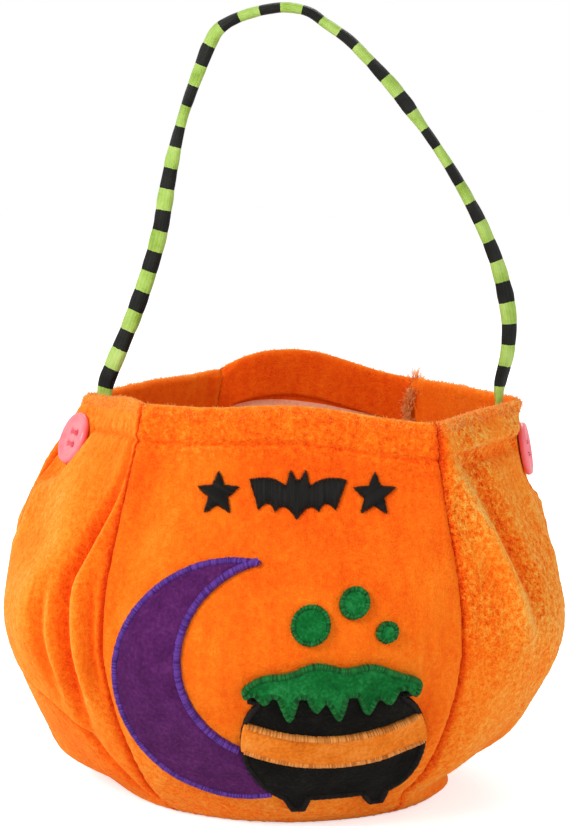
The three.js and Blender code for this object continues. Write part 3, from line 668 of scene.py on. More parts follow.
def gore_shape(name, across, stations):
    """A gore's drawn-in face: points, outward directions that turn to the seam's own near both
    seams but not at the base, the lifts of its folds, its hem and its rolled seams, the distances
    from its first seam and its nearest one, and the heights above its base and below its rim."""
    gore = gores[name]
    points = drawn_in(gore_plain(gore, across, stations))
    steps = np.linalg.norm(np.diff(points, axis=1), axis=-1)
    from_first = np.concatenate([np.zeros((len(stations), 1)), np.cumsum(steps, 1)], 1)
    width = from_first[:, -1:]
    climb = np.linalg.norm(np.diff(points, axis=0), axis=-1)
    climbed = np.concatenate([np.zeros((1, len(across))), np.cumsum(climb, 0)], 0)
    below_rim = (climbed[-1:] + hem_thickness / 2) - climbed
    near = np.minimum(from_first, width - from_first)
    out = face_normals(points)
    for seam, reach in zip(gore["seams"], (from_first, width - from_first)):
        share = (bell(reach, 0, 6) * smooth(climbed, 12, 24))[..., None]
        out = out * (1 - share) + seam_line(seam, stations)[1][:, None] * share
    out = unit(out)
    u, s = np.meshgrid(across, stations)
    lift = slow_wave * cloth_noise(from_first, climbed, 26, 11) * smooth(near, 0, 12)
    lift = lift + quick_wave * cloth_noise(from_first + 50, climbed, 9, 12) * smooth(near, 0, 6)
    for path, size, height in gore_folds[name]:
        lift = lift + fold(u, s, width, path, size, height) * smooth(near, 0, 4)
    if name == "front_left_gore":
        lift = lift + tuck(u, s, width) * smooth(width - from_first, 0, 4)
    if name == "front_right_gore":
        under = smooth(u, 0.08, 0.3)
        lift = lift + under * ridge_height * bell(below_rim, ridge_place, 4)
        lift = lift - under * valley_depth * bell(below_rim, valley_place, 2.4)
    from_buttons = [np.linalg.norm(points - seat, axis=-1) for seat, _ in button_seats.values()]
    beside = np.min(from_buttons, axis=0)
    clear = smooth(beside, 8, 14)
    lift = lift * clear * smooth(climbed, 0, 9)
    pucker = 0.22 * cloth_noise(from_first, 0 * climbed, 1.9, 5) * clear
    hem = hem_puff * (1 - smooth(below_rim, hem_depth - 2, hem_depth + 1))
    hem = hem - (groove_depth + pucker) * bell(below_rim, hem_depth, 1.0) * clear
    hem = hem + pucker * bell(below_rim, hem_depth, 5)
    roll = rolled_seam(near) * smooth(beside, 4, 10) * smooth(climbed, 6, 15)
    return points, out, lift, hem, roll, from_first, near, climbed, below_rim


# The pile's tufts: their cells and their heights, also where ruffled and at edges. Then the cloth
# that the allowances add inside, the inner face's share of the ruffle and its painted shade. Then
# how much more the front is ruffled at its foot and its hem, how much shade is painted into the
# seams, into the hem's groove and for each millimetre a fold sinks (and highlight where it rises),
# and how much highlight is painted along the rim's edge.
tuft_cells, tuft_height, ruffled_height, edge_height = (1.5, 0.8), 0.07, 0.16, 0.14
hem_allowance, seam_allowance, inner_ruffled, inner_painted_shade = 0.8, 1.8, 0.25, 0.22
front_ruffled, seam_painted_shade, groove_painted_shade, fold_painted_shading, rim_painted_highlight = 0.35, 0.7, 0.25, 0.16, 0.45


def gore_piece(name):
    """A gore as a closed shell: the outer face, rolled into its seams and with the pile's tufts,
    the rim's round fold, and the inner face with the hem's facing and the seam allowances."""
    gore = gores[name]
    stations, angles = gore_rows()
    columns = gore["columns"] + 1
    across = np.linspace(-0.0012, 1.0012, columns)
    points, out, lift, hem, roll, from_first, near, climbed, below_rim = gore_shape(
        name, across, stations)
    up = unit(np.gradient(points, axis=0))
    folded, last_plain = angles > 0, np.count_nonzero(angles == 0) - 1
    up[folded], out[folded] = up[last_plain], out[last_plain]
    ruffled = gore["ruffled"] * (0.75 + 0.5 * cloth_noise(from_first, climbed, 17, 31))
    if name == "front_gore":
        ruffled = ruffled + front_ruffled * (1 - smooth(climbed, 15, 60))
        ruffled = ruffled + front_ruffled * (1 - smooth(below_rim, 10, 20))
    # Lower down, the right gore's pile is drawn less ruffled: less mottled, and darker towards its
    # foot as painted shade.
    if name == "front_right_gore":
        ruffled = ruffled * (0.4 + 0.6 * smooth(climbed, 25, 75))
    tuft = cloth_noise(from_first, climbed, tuft_cells[0], 21)
    tuft = tuft + 0.6 * cloth_noise(from_first, climbed, tuft_cells[1], 22)
    edge = bell(np.maximum(below_rim, 0), 0, 3.5) + bell(near, 0, 2.5)
    pile = tuft * (tuft_height + ruffled_height * np.clip(ruffled, 0, 1))
    pile = pile + edge_height * tuft * edge
    half = hem_thickness / 2
    turn = angles[:, None]
    outer = points + out * (lift + hem + roll + pile - half * (1 - np.cos(turn)))[..., None]
    outer = outer + up * (half * np.sin(turn))[..., None]
    facing = 1 - smooth(below_rim, facing_depth - 0.5, facing_depth + 0.2)
    allowance = (hem_allowance + seam_allowance * (1 - facing)) * (1 - smooth(near, 4, 6.5))
    allowance = allowance * smooth(climbed, 8, 17)
    depth = cloth_thickness + (hem_thickness - cloth_thickness) * facing + allowance
    depth = np.where(turn > 0, half * (1 + np.cos(turn)), depth)
    inner = points + out * (lift * 0.8 - depth + pile * facing)[..., None]
    inner = (inner + up * (half * np.sin(turn))[..., None])[:, ::4]
    rows, inner_columns = len(stations), columns // 4 + 1
    count = rows * columns
    first = np.arange(rows) * columns
    last = first + columns - 1
    inner_first = np.arange(rows) * inner_columns + count
    inner_last = inner_first + inner_columns - 1
    outer_faces = grid_faces(rows, columns)
    inner_faces = grid_faces(rows, inner_columns, count, flip=True)
    in_facing = stations[:-1] > station_at(rim_height - facing_depth) - 0.001
    faced = np.repeat(in_facing, inner_columns - 1)
    left = np.stack([inner_first[:-1], first[:-1], first[1:], inner_first[1:]], -1)
    right = np.stack([last[:-1], inner_last[:-1], inner_last[1:], last[1:]], -1)
    inner_row = np.arange(inner_columns)
    top = zip_faces(first[-1] + np.arange(columns), inner_first[-1] + inner_row)
    bottom = zip_faces(np.arange(columns), count + inner_row)[:, ::-1]
    # Painted shade in the seams, the hem's groove and the folds' valleys; painted highlight on the
    # folds' ridges and along the rim's edge.
    painted_shading = bell(near, 0, 1.6) * seam_painted_shade + groove_painted_shade * bell(below_rim, hem_depth, 1.1)
    painted_shading = painted_shading - fold_painted_shading * np.clip(lift, -3, 3) - rim_painted_highlight * bell(below_rim, -0.5, 2.4)
    piece = add_piece(
        name,
        np.concatenate([outer.reshape(-1, 3), inner.reshape(-1, 3)]),
        [(outer_faces, 0), (inner_faces[faced], 0), (inner_faces[~faced], 1),
         (left, 0), (right, 0), (top, 0), (bottom, 0)],
        [velour, reverse_cloth],
        {
            "ruffled": np.concatenate([ruffled.ravel(), inner_ruffled * ruffled[:, ::4].ravel()]),
            # The inner face gets an even painted shade.
            "painted_shading": np.concatenate([painted_shading.ravel(), np.full(inner.size // 3, inner_painted_shade)]),
        },
    )
    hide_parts(gore["node"])
    return outer


gore_faces = {name: gore_piece(name) for name in gores}


# ---- The base: a flat oval of the same velour inside the gores' lower edges. It lies on the
# ---- table, so only its edge and, from above, its peach-coloured back can be seen.
base_reach, base_top, base_bottom = (56.1, 49.1), 1.8, 0.02
top_rings, bottom_rings, spokes = 26, 8, 120


def base_shape():
    """An oval closed sheet: rings out over the top, round the edge and in under the bottom. The
    top is lifted by a slow ripple that dies away at the edge."""
    edge = [0.985, 0.996, 1.0, 0.996, 0.985]
    top, bottom = np.linspace(0.02, 0.97, top_rings), np.linspace(0.97, 0.02, bottom_rings)
    edge_heights = [1.7, 1.45, 1.0, 0.5, 0.15]
    radii = np.concatenate([top, edge, bottom])
    heights = np.concatenate([
        np.full(top_rings, base_top), edge_heights, np.full(bottom_rings, base_bottom)])
    angle = np.arange(spokes) / spokes * 2 * np.pi
    r, a = np.meshgrid(radii, angle, indexing="ij")
    x, y = base_reach[0] * r * np.cos(a), base_reach[1] * r * np.sin(a)
    ripple = 0.45 * cloth_noise(x + 200, y + 200, 14, 41) * (1 - smooth(r, 0.75, 1))
    ripple = ripple * (heights > 1.5)[:, None]
    points = np.stack([x, y, heights[:, None] + ripple], -1)
    points[..., 0] -= slack_at(points)
    return points


base_points = base_shape()
rings = len(base_points)
base_middles = [[0, 0, base_top], [0, 0, base_bottom]]
base_flat = np.concatenate([base_points.reshape(-1, 3), base_middles])
top_middle, first_ring = rings * spokes, np.arange(spokes)
top_fan = fan(top_middle, first_ring)
bottom_fan = fan(top_middle + 1, first_ring + (rings - 1) * spokes, flip=True)
last_top = top_rings - 1
base_piece = add_piece(
    "base_oval",
    base_flat,
    [(grid_faces(top_rings, spokes, wrap=True, flip=True), 1),
     (grid_faces(rings - last_top, spokes, last_top * spokes, wrap=True, flip=True), 0),
     (top_fan, 1), (bottom_fan, 0)],
    [velour, reverse_cloth],
    # The base's velour gets an even painted shade all over.
    {"ruffled": np.full(len(base_flat), 0.3), "painted_shading": np.full(len(base_flat), 0.3)},
)
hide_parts("base_panel")


# ---- Felt: pressed wool shapes laid on the front gore. Each is cut as a flat outline seen from
# ---- the front, filled with a net of triangles and carried onto the gore's face.
felt_thickness = 1.2
front_across = np.linspace(0.0005, 0.9995, 209)
front_stations = np.linspace(0.001, 0.985, 220)
front_points, front_out, front_lift, front_hem, *_ = gore_shape(
    "front_gore", front_across, front_stations)
front_skin = front_points + front_out * (front_lift + front_hem)[..., None]


def sample(grid, row, column):
    """Values of a grid at places between its points, blended between the four nearest."""
    i = np.clip(row.astype(int), 0, grid.shape[0] - 2)
    j = np.clip(column.astype(int), 0, grid.shape[1] - 2)
    down, right = (row - i)[..., None], (column - j)[..., None]
    low = grid[i, j] * (1 - right) + grid[i, j + 1] * right
    high = grid[i + 1, j] * (1 - right) + grid[i + 1, j + 1] * right
    return low * (1 - down) + high * down


def on_front(flat, lift):
    """The points of the front gore's face that are seen at flat (x, z) points, raised by lift.
    Newton's method, with slopes over half a step, finds the row and column of each point."""
    rows, columns = np.array(front_skin.shape[:2]) - 1.001
    row, column = np.full(flat.shape[:-1], rows / 2), np.full(flat.shape[:-1], columns / 2)
    half = 0.5
    for _ in range(12):
        here = sample(front_skin, row, column)
        along = sample(front_skin, row, np.minimum(column + half, columns + half)) - here
        up = sample(front_skin, np.minimum(row + half, rows + half), column) - here
        x, z = flat[..., 0] - here[..., 0], flat[..., 1] - here[..., 2]
        area = along[..., 0] * up[..., 2] - along[..., 2] * up[..., 0]
        column = np.clip(column + half * (x * up[..., 2] - z * up[..., 0]) / area, 0, columns)
        row = np.clip(row + half * (z * along[..., 0] - x * along[..., 2]) / area, 0, rows)
    out = unit(sample(front_out, row, column))
    return sample(front_skin, row, column) + out * np.asarray(lift)[..., None]


def trace(start, *steps):
    """A closed outline: a step of two numbers is a straight line's end, one of four a quadratic
    curve's control and end, and one of six a cubic curve's. Points lie about 0.6 apart."""
    line = [np.array([start], float)]
    for step in steps:
        knots = np.vstack([line[-1][-1], np.reshape(step, (-1, 2))])
        count = max(1, round(np.linalg.norm(np.diff(knots, axis=0), axis=1).sum() / 0.6))
        t = np.arange(1, count + 1)[:, None] / count
        curve = list(knots)
        while len(curve) > 1:
            curve = [a * (1 - t) + b * t for a, b in zip(curve, curve[1:])]
        line.append(curve[0])
    points = np.vstack(line)
    return points[:-1] if np.allclose(points[0], points[-1]) else points


def circle(x, z, radius, spacing=0.6):
    """A counter-clockwise ring of points about that far apart."""
    count = max(12, round(2 * np.pi * radius / spacing))
    angle = np.arange(count) / count * 2 * np.pi
    return np.stack([x + radius * np.cos(angle), z + radius * np.sin(angle)], -1)


def edge_loops(triangles):
    """The ordered loops of the edges that only one triangle has."""
    sides = np.concatenate([triangles[:, pair] for pair in ([0, 1], [1, 2], [2, 0])]).tolist()
    there = set(map(tuple, sides))
    onward = {a: b for a, b in sides if (b, a) not in there}
    loops = []
    while onward:
        loop = [next(iter(onward))]
        while loop[-1] in onward:
            loop.append(onward.pop(loop[-1]))
        loops.append(np.array(loop[:-1]))
    return loops


def cut_out(within, without=(), spacing=1.2):
    """What lies inside all the outlines of within and outside those of without, as flat points,
    triangles and edge loops: a constrained Delaunay net over the outlines and a lattice, whose
    points keep 0.6 of a space from the outlines."""
    lines = [*within, *without]
    edge = np.concatenate(lines)
    low, high = within[0].min(0), within[0].max(0)
    columns, rows = ((high - low) / spacing).astype(int) + 2
    x, z = np.meshgrid(np.arange(columns) * spacing, np.arange(rows) * spacing)
    x = x + (np.arange(rows) % 2 * spacing / 2)[:, None]
    lattice = np.stack([x, z], -1).reshape(-1, 2) + low
    parts = np.array_split(lattice, 20)
    to_edge = [np.linalg.norm(part[:, None] - edge[None], axis=-1).min(1) for part in parts]
    lattice = lattice[np.concatenate(to_edge) > 0.6 * spacing]
    ends = np.cumsum([len(line) for line in lines])
    loops = [list(range(end - len(line), end)) for line, end in zip(lines, ends)]
    corners = [Vector(point) for point in np.concatenate([edge, lattice]).tolist()]
    flat, _, faces, _, _, owners = geometry.delaunay_2d_cdt(corners, [], loops, 1, 1e-6)
    inside, outside = set(range(len(within))), set(range(len(within), len(lines)))
    kept = [
        face for face, owner in zip(faces, owners)
        if inside <= set(owner) and not outside & set(owner)
    ]
    used, triangles = np.unique(np.array(kept), return_inverse=True)
    triangles = triangles.reshape(-1, 3)
    return np.array([point[:] for point in flat])[used], triangles, edge_loops(triangles)


def layer(shape, upper, lower, rim):
    """A closed layer of the shape: its upper face, its lower face turned over, and round each
    edge loop two strips of quads over the rim's points."""
    flat, triangles, loops = shape
    count = len(flat)
    groups = [triangles, triangles[:, ::-1] + count]
    for loop in loops:
        following = np.roll(loop, -1)
        for high, low in ((0, 2 * count), (2 * count, count)):
            quads = np.stack([loop + high, loop + low, following + low, following + high], -1)
            groups += [quads[:, :3], quads[:, [0, 2, 3]]]
    return np.concatenate([upper, lower, rim]), np.concatenate(groups)


def felt_layer(shape, lift, thickness):
    """A shape carried onto the front as a layer of felt with a soft, slightly uneven face and a
    rounded edge, whose middle stands out by the bulge."""
    flat, _, loops = shape
    outer, bulge = flat.copy(), 0.12
    for loop in loops:
        along = np.roll(flat[loop], -1, 0) - np.roll(flat[loop], 1, 0)
        outer[loop] += bulge * unit(np.stack([along[:, 1], -along[:, 0]], -1))
    nap = 0.09 * cloth_noise(flat[:, 0] + 90, flat[:, 1] + 90, 2.2, 51)
    return layer(
        shape,
        on_front(flat, lift + thickness + nap),
        on_front(flat, np.full(len(flat), lift)),
        on_front(outer, np.full(len(flat), lift + 0.55 * thickness)),
    )


def strands(paths, out, radius, sides=5):
    """Threads along paths of shape (threads, steps, 3): tubes of that radius, closed to a point
    at both ends. Out gives each step's direction away from the cloth. Returns the points, the
    triangles and the number of points in each thread."""
    threads, steps = paths.shape[:2]
    along = unit(np.gradient(paths, axis=1))
    side = unit(np.cross(along, out))
    lift = np.cross(side, along)
    angle = np.arange(sides) / sides * 2 * np.pi
    ring = side[:, :, None] * np.cos(angle)[:, None] + lift[:, :, None] * np.sin(angle)[:, None]
    taper = np.full(steps, radius)
    taper[[0, -1]] *= 0.4
    tubes = (paths[:, :, None] + ring * taper[:, None, None]).reshape(threads, -1, 3)
    tips = np.stack([paths[:, 0] - along[:, 0] * radius, paths[:, -1] + along[:, -1] * radius], 1)
    points = np.concatenate([tubes, tips], 1)
    first, last = steps * sides, steps * sides + 1
    ring = np.arange(sides)
    body = grid_faces(steps, sides, wrap=True)
    quads = np.concatenate([body[:, :3], body[:, [0, 2, 3]]])
    start, end = fan(first, ring, flip=True), fan(last, ring + first - sides)
    each = points.shape[1]
    faces = np.concatenate([quads, start, end])[None] + (np.arange(threads) * each)[:, None, None]
    return points.reshape(-1, 3), faces.reshape(-1, 3), each


stitch_random = np.random.default_rng(77)
# How far a border's stitches slant and rise, and how far a fill's do and at most.
stitch_slant, border_crest, fill_crest, crest_limit = 0.05, 0.55, 0.55, 0.95


def laid(flat, rise):
    """Stitches at those flat points and heights over the front, with their outward directions."""
    raised = on_front(flat, rise)
    return raised, on_front(flat, rise + 1) - raised


def border(shape, low, high, hidden_by=None, pitch=0.3, reach=(-0.5, 1.25)):
    """Satin stitches over a shape's edges: from low outside the edge up over it and down to high
    on the felt, as far out and in as the reach says. Stitches whose edge lies along another
    piece's outline are left out."""
    flat, _, loops = shape
    paths = []
    for loop in loops:
        line = flat[np.append(loop, loop[0])]
        run = np.append(0, np.cumsum(np.linalg.norm(np.diff(line, axis=0), axis=1)))
        count = max(8, int(run[-1] / pitch))
        at = np.arange(count) * run[-1] / count
        here = np.stack([np.interp(at, run, line[:, axis]) for axis in (0, 1)], -1)
        tangent = np.roll(here, -3, 0) - np.roll(here, 3, 0)
        inward = unit(np.stack([-tangent[:, 1], tangent[:, 0]], -1))
        if hidden_by is not None:
            far = np.linalg.norm(here[:, None] - hidden_by[None], axis=-1).min(1)
            here, inward = here[far > 0.8], inward[far > 0.8]
        ends = np.array(reach) + stitch_random.normal(0, 0.08, (len(here), 2))
        share = np.array([0, 0.14, 0.36, 0.62, 0.86, 1])
        across = ends[:, :1] + (ends[:, 1:] - ends[:, :1]) * share
        slant = stitch_random.normal(0, 0.03, (len(here), 1)) + stitch_slant
        sideways = np.stack([inward[:, 1], -inward[:, 0]], -1)
        spot = here[:, None] + inward[:, None] * across[..., None]
        spot = spot + sideways[:, None] * (slant * across)[..., None]
        crest = high + border_crest + stitch_random.normal(0, 0.025, (len(here), 1))
        rise = crest * np.array([0, 0.78, 1, 1, 0.84, 0]) + np.array([low, 0, 0, 0, 0, high])
        paths.append((spot, rise))
    flat = np.concatenate([spot for spot, _ in paths])
    return laid(flat, np.concatenate([rise for _, rise in paths]))


def satin(outline, angle, pitch=0.36):
    """Satin stitches that fill an outline: parallel threads across it at an angle in degrees,
    which rise in the middle, the long ones more."""
    turn = np.radians(angle)
    frame = np.array([[np.cos(turn), np.sin(turn)], [-np.sin(turn), np.cos(turn)]])
    line = outline @ frame.T
    after = np.roll(line, -1, 0)
    spans = []
    for level in np.arange(line[:, 0].min() + pitch / 2, line[:, 0].max(), pitch):
        crossed = (line[:, 0] < level) != (after[:, 0] < level)
        a, b = line[crossed], after[crossed]
        heights = np.sort(a[:, 1] + (level - a[:, 0]) / (b[:, 0] - a[:, 0]) * (b[:, 1] - a[:, 1]))
        pairs = zip(heights[::2], heights[1::2])
        spans += [(level, low, high) for low, high in pairs if high - low > 0.5]
    level, low, high = np.array(spans).T[..., None]
    wobble = stitch_random.normal(0, 0.07, (len(spans), 2))
    low, high = low - 0.2 + wobble[:, :1], high + 0.2 + wobble[:, 1:]
    share = np.array([0, 0.12, 0.36, 0.64, 0.88, 1])
    flat = np.stack([level + 0 * share, low + (high - low) * share], -1) @ frame
    crest = np.minimum(fill_crest + 0.09 * (high - low), crest_limit)
    crest = crest + stitch_random.normal(0, 0.03, (len(spans), 1))
    return laid(flat, crest * np.array([0, 0.8, 1, 1, 0.8, 0]) + 0.25)


def felt_finish(name, deep, middle, light):
    """Fine tangled fibres with softly matted patches."""
    felt = Finish(name, {"Specular IOR Level": 0.05, "Sheen Weight": 0.02, "Sheen Roughness": 0.6})
    fibres = felt.noise(900, 4.0, 0.65)
    patches = felt.noise(110, 3.0, 0.55)
    shade = felt.ramp(fibres * 0.55 + patches * 0.45, (0.3, deep), (0.5, middle), (0.72, light))
    matted = felt.bump(patches, 0.0007)
    return felt.wear(
        Base_Color=shade,
        Roughness=0.86 + fibres * 0.12,
        Normal=felt.bump(fibres, 0.0005, matted),
    )


def thread_finish(name, deep, light):
    """Each strand has a tone of its own, which its twist breaks up a little."""
    thread = Finish(name, {"Specular IOR Level": 0.16})
    twist = thread.noise(1.0, 1.0, 0.5, thread.stretched((2600, 2600, 2600)))
    tone = thread.measure("strand") * 0.7 + twist * 0.3
    shade = thread.ramp(tone, (0.15, deep), (0.85, light))
    return thread.wear(
        Base_Color=shade,
        Roughness=0.42 + twist * 0.2,
        Normal=thread.bump(twist, 0.00012),
    )


def sew(name, stitches, material, radius=0.2, sides=5):
    """A piece of threads, each with its own random tone."""
    groups = [strands(paths, out, radius, sides) for paths, out in stitches]
    starts = np.cumsum([0] + [len(points) for points, _, _ in groups])
    tones = [
        np.repeat(stitch_random.uniform(0, 1, len(points) // each), each)
        for points, _, each in groups
    ]
    piece = add_piece(
        name,
        np.concatenate([points for points, _, _ in groups]),
        [(faces + first, 0) for (_, faces, _), first in zip(groups, starts)],
        [material],
        {"strand": np.concatenate(tones)},
    )
    return piece


def applique(name, node, shape, lift, material):
    """A felt piece of the shape carried onto the front, whose cut area is worked out but not used."""
    points, faces = felt_layer(shape, lift, felt_thickness)
    piece = add_piece(name, points, [(faces, 0)], [material])
    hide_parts(node)
    flat, triangles, _ = shape
    a = flat[triangles[:, 1]] - flat[triangles[:, 0]]
    b = flat[triangles[:, 2]] - flat[triangles[:, 0]]
    area = np.abs(a[:, 0] * b[:, 1] - a[:, 1] * b[:, 0]).sum() / 2e6


# ---- The applique: a purple crescent moon behind a black pot with an orange band and a green
# ---- brew, and three bubbles above it. Every edge is closed with satin stitches.
pot_x, pot_z = 22, 34


def pot_outline(grow=0):
    """A round pot with a flared lip and two feet, grown outwards by a margin."""
    x, z = pot_x, pot_z
    lip, neck, bulge, floor = 25 + grow, 21.5 + grow, 1.06 * (29 + grow), 0.55 * (29 + grow)
    top, under, bottom = z + 20 + grow, z + 16 - grow, z - 20 - grow
    feet = [
        corner for foot in (x - 12, x + 12) for corner in (
            (foot - 4 - grow, bottom), (foot - 2 - grow, bottom - 5),
            (foot + 2 + grow, bottom - 5), (foot + 4 + grow, bottom))
    ]
    return trace(
        (x - lip, top), (x - lip, under), (x - neck, under),
        (x - bulge, z + 8.8, x - bulge, z - 12, x - floor, bottom), *feet, (x + floor, bottom),
        (x + bulge, z - 12, x + bulge, z + 8.8, x + neck, under), (x + lip, under), (x + lip, top),
        (x - lip, top),
    )


def brew_outline():
    """The brew's bumpy top edge and, back along its underside, drips of several lengths."""
    share = np.linspace(0, 1, 97)
    top = np.sin(np.pi * share) ** 0.6 * (8 + 0.9 * np.sin(6 * np.pi * share))
    drips = 0.32 + 0.3 * np.cos(8 * np.pi * share) + 0.38 * np.cos(14 * np.pi * share + 1)
    under = -np.sin(np.pi * share) ** 0.4 * (1.6 + 9 * np.maximum(drips, 0))
    x, z = pot_x + 53 * (share - 0.5), pot_z + 20
    over = np.stack([x, z + top], -1)[::-1]
    return np.concatenate([over[:-1], np.stack([x, z + under], -1)[:-1]])


def counter_clockwise(line):
    """The outline itself, or the other way round if its area comes out negative."""
    after = np.roll(line, -1, 0)
    area = np.sum(line[:, 0] * after[:, 1] - line[:, 1] * after[:, 0])
    return line if area > 0 else line[::-1]


pot_line = counter_clockwise(pot_outline())
round_pot = counter_clockwise(pot_outline(0.3))
moon_shape = cut_out([circle(-8, 53, 39)], [circle(6, 61, 31), round_pot])
pot_shape = cut_out([pot_line])
sash_line = counter_clockwise(
    trace((-7, 34), (22, 22, 51, 34), (51, 44), (22, 32, -7, 44), (-7, 34)))
sash_shape = cut_out([pot_line, sash_line], spacing=1.0)
brew_shape = cut_out([counter_clockwise(brew_outline())], spacing=1.0)
bubble_shapes = [
    cut_out([circle(x, z, radius, 0.5)], spacing=0.9)
    for x, z, radius in ((16, 74, 5.6), (29, 80, 4.2), (39, 71, 2.9))
]

purple_felt = felt_finish(
    "purple_felt", colour(58, 16, 64), colour(82, 30, 88), colour(108, 50, 112))
violet_thread = thread_finish("violet_thread", colour(62, 28, 110), colour(112, 68, 166))
black_felt = felt_finish(
    "black_felt", colour(6, 6, 5), colour(17, 17, 14), colour(36, 35, 31))
black_thread = thread_finish("black_thread", colour(6, 6, 5), colour(30, 28, 25))
orange_felt = felt_finish(
    "orange_felt", colour(206, 96, 14), colour(238, 128, 30), colour(250, 162, 74))
straw_thread = thread_finish("straw_thread", colour(176, 92, 22), colour(244, 166, 84))
green_felt = felt_finish(
    "green_felt", colour(2, 66, 26), colour(14, 104, 44), colour(48, 146, 78))
dark_green_thread = thread_finish("dark_green_thread", colour(2, 58, 20), colour(30, 128, 56))

purple = ("purple_felt", purple_felt, violet_thread)
black = ("black_felt", black_felt, black_thread)
orange = ("orange_felt", orange_felt, straw_thread)
green = ("green_felt", green_felt, dark_green_thread)
on_cloth, on_pot = 0.25, 1.6
wide_reach, narrow_reach = (-0.5, 1.25), (-0.45, 0.9)
sewn = [
    ("moon", "moon_patch", moon_shape, on_cloth, wide_reach, round_pot, purple),
    ("pot", "pot_patch", pot_shape, on_cloth, wide_reach, None, black),
    ("pot_sash", "pot_band", sash_shape, on_pot, narrow_reach, pot_line, orange),
    ("brew", "brew_patch", brew_shape, on_pot, wide_reach, None, green),
]
for name, node, shape in zip(
    ("big_bubble", "mid_bubble", "little_bubble"),
    ("large_bubble", "middle_bubble", "small_bubble"),
    bubble_shapes,
):
    sewn.append((name, node, shape, on_cloth, narrow_reach, None, green))
for name, node, shape, lift, reach, hidden_by, (slot, felt, thread) in sewn:
    bottom, top = max(lift - 0.3, 0.1), lift + felt_thickness
    stitches = border(shape, bottom, top, hidden_by, reach=reach)
    edging = sew(f"{name}_stitches", [stitches], thread)
    applique(name, node, shape, lift, felt)


# ---- The embroidery under the hem: a bat between two stars, sewn right through the velour with
# ---- black satin stitches over a thin padding.
def bat_outline():
    """A bat with scalloped wings and two ears, from shares of half its span and its height."""
    middle, half_span, height = (10, 111), 15, 14
    shares = [
        (-1, 0.3), (-0.86, -0.1, -0.8, -0.3), (-0.58, -0.02, -0.45, -0.34), (-0.26, -0.08, 0, -0.5),
        (0.26, -0.08, 0.45, -0.34), (0.58, -0.02, 0.8, -0.3), (0.86, -0.1, 1, 0.3),
        (0.5, 0.42, 0.24, 0.14), (0.16, 0.5), (0.05, 0.3), (-0.05, 0.3), (-0.16, 0.5),
        (-0.24, 0.14), (-0.5, 0.42, -1, 0.3),
    ]
    size = (half_span, height)
    return trace(*[(np.reshape(step, (-1, 2)) * size + middle).ravel() for step in shares])


def star_outline(x, z, radius=6.6):
    """A five-pointed star whose inner corners lie at 0.45 of its radius."""
    corner = np.arange(11)
    angle = np.radians(90 + 36 * corner)
    reach = radius * np.where(corner % 2, 0.45, 1)
    corners = np.stack([x + reach * np.cos(angle), z + reach * np.sin(angle)], -1)
    return trace(*corners)


for name, node, outline, angle in (
    ("bat_stitches", "embroidered_bat", bat_outline(), 4),
    ("left_star_stitches", "left_star", star_outline(-15, 111), 62),
    ("right_star_stitches", "right_star", star_outline(34, 111), -58),
):
    outline = counter_clockwise(outline)
    shape = cut_out([outline], spacing=1.0)
    fill = satin(outline, angle)
    rim_stitches = border(shape, 0.1, 0.25, pitch=0.5, reach=(-0.35, 0.55))
    piece = sew(name, [fill, rim_stitches], black_thread)
    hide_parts(node)


# ---- The pile along the rim: the velour's hairs stand up where the hem is folded over, coloured
# ---- pale as a painted highlight. At the back right seam the raw ends of the allowance stick out
# as
# ---- a small pale brush.
pile_random = np.random.default_rng(91)


def hairs(roots, ways, shortest, longest):
    """Short hairs from their roots along their own ways, which stray by random steps and curl
    over by a parabola: paths of four points and a direction away from the cloth for each."""
    count = len(roots)
    stray = pile_random.normal(0, 0.35, (count, 3))
    length = pile_random.uniform(shortest, longest, (count, 1, 1))
    share = np.array([0, 0.35, 0.7, 1])[None, :, None]
    curl = pile_random.normal(0, 0.25, (count, 1, 3))
    paths = roots[:, None] + length * (unit(ways + stray)[:, None] * share + curl * share ** 2)
    return paths, np.broadcast_to(unit(np.cross(ways, stray))[:, None], paths.shape)


def rim_pile():
    """Hairs at random places on the last rows of every gore, most where the pile is ruffled."""
    groups = []
    for name, outer in gore_faces.items():
        count = int(500 + 500 * gores[name]["ruffled"])
        row = outer.shape[0] - 1 - pile_random.uniform(0, 9, count)
        column = pile_random.uniform(0, outer.shape[1] - 1, count)
        away = unit(sample(face_normals(outer), row, column))
        roots = sample(outer, row, column) - 0.2 * away
        groups.append(hairs(roots, away + [0, 0, 0.3], 0.45, 1.0))
    return groups


def seam_brush():
    """The brush above the back right seam and, below it, pale ends along the allowance, which
    wander from side to side as a sine. Both start from the seam's line, set in by their depth."""
    steps, tip_count, end_count, end_depth = 40, 70, 900, 6.2
    line, away = seam_line(back_seam, np.linspace(0.86, top_station, steps))
    line = line[:, None].repeat(2, 1)
    above, inwards, upwards = away[steps - 4], -away[steps // 2], np.array([0.0, 0.0, 1.0])
    rows = pile_random.uniform(steps - 3, steps - 1, tip_count)
    tips = sample(line, rows, pile_random.uniform(0, 1, tip_count))
    tips = tips - above * pile_random.uniform(0.5, 3.5, (tip_count, 1))
    rows = pile_random.uniform(0, steps - 1.5, end_count)
    wander = pile_random.normal(0, 1.2, end_count) + 0.9 * np.sin(rows / 5)
    ends = sample(line, rows, np.zeros(end_count)) + inwards * end_depth
    ends = ends + np.cross(-inwards, upwards) * wander[:, None]
    return [
        hairs(tips, np.broadcast_to(upwards, tips.shape), 2.2, 6.6),
        hairs(ends, np.broadcast_to(inwards, ends.shape), 0.7, 1.8),
    ]


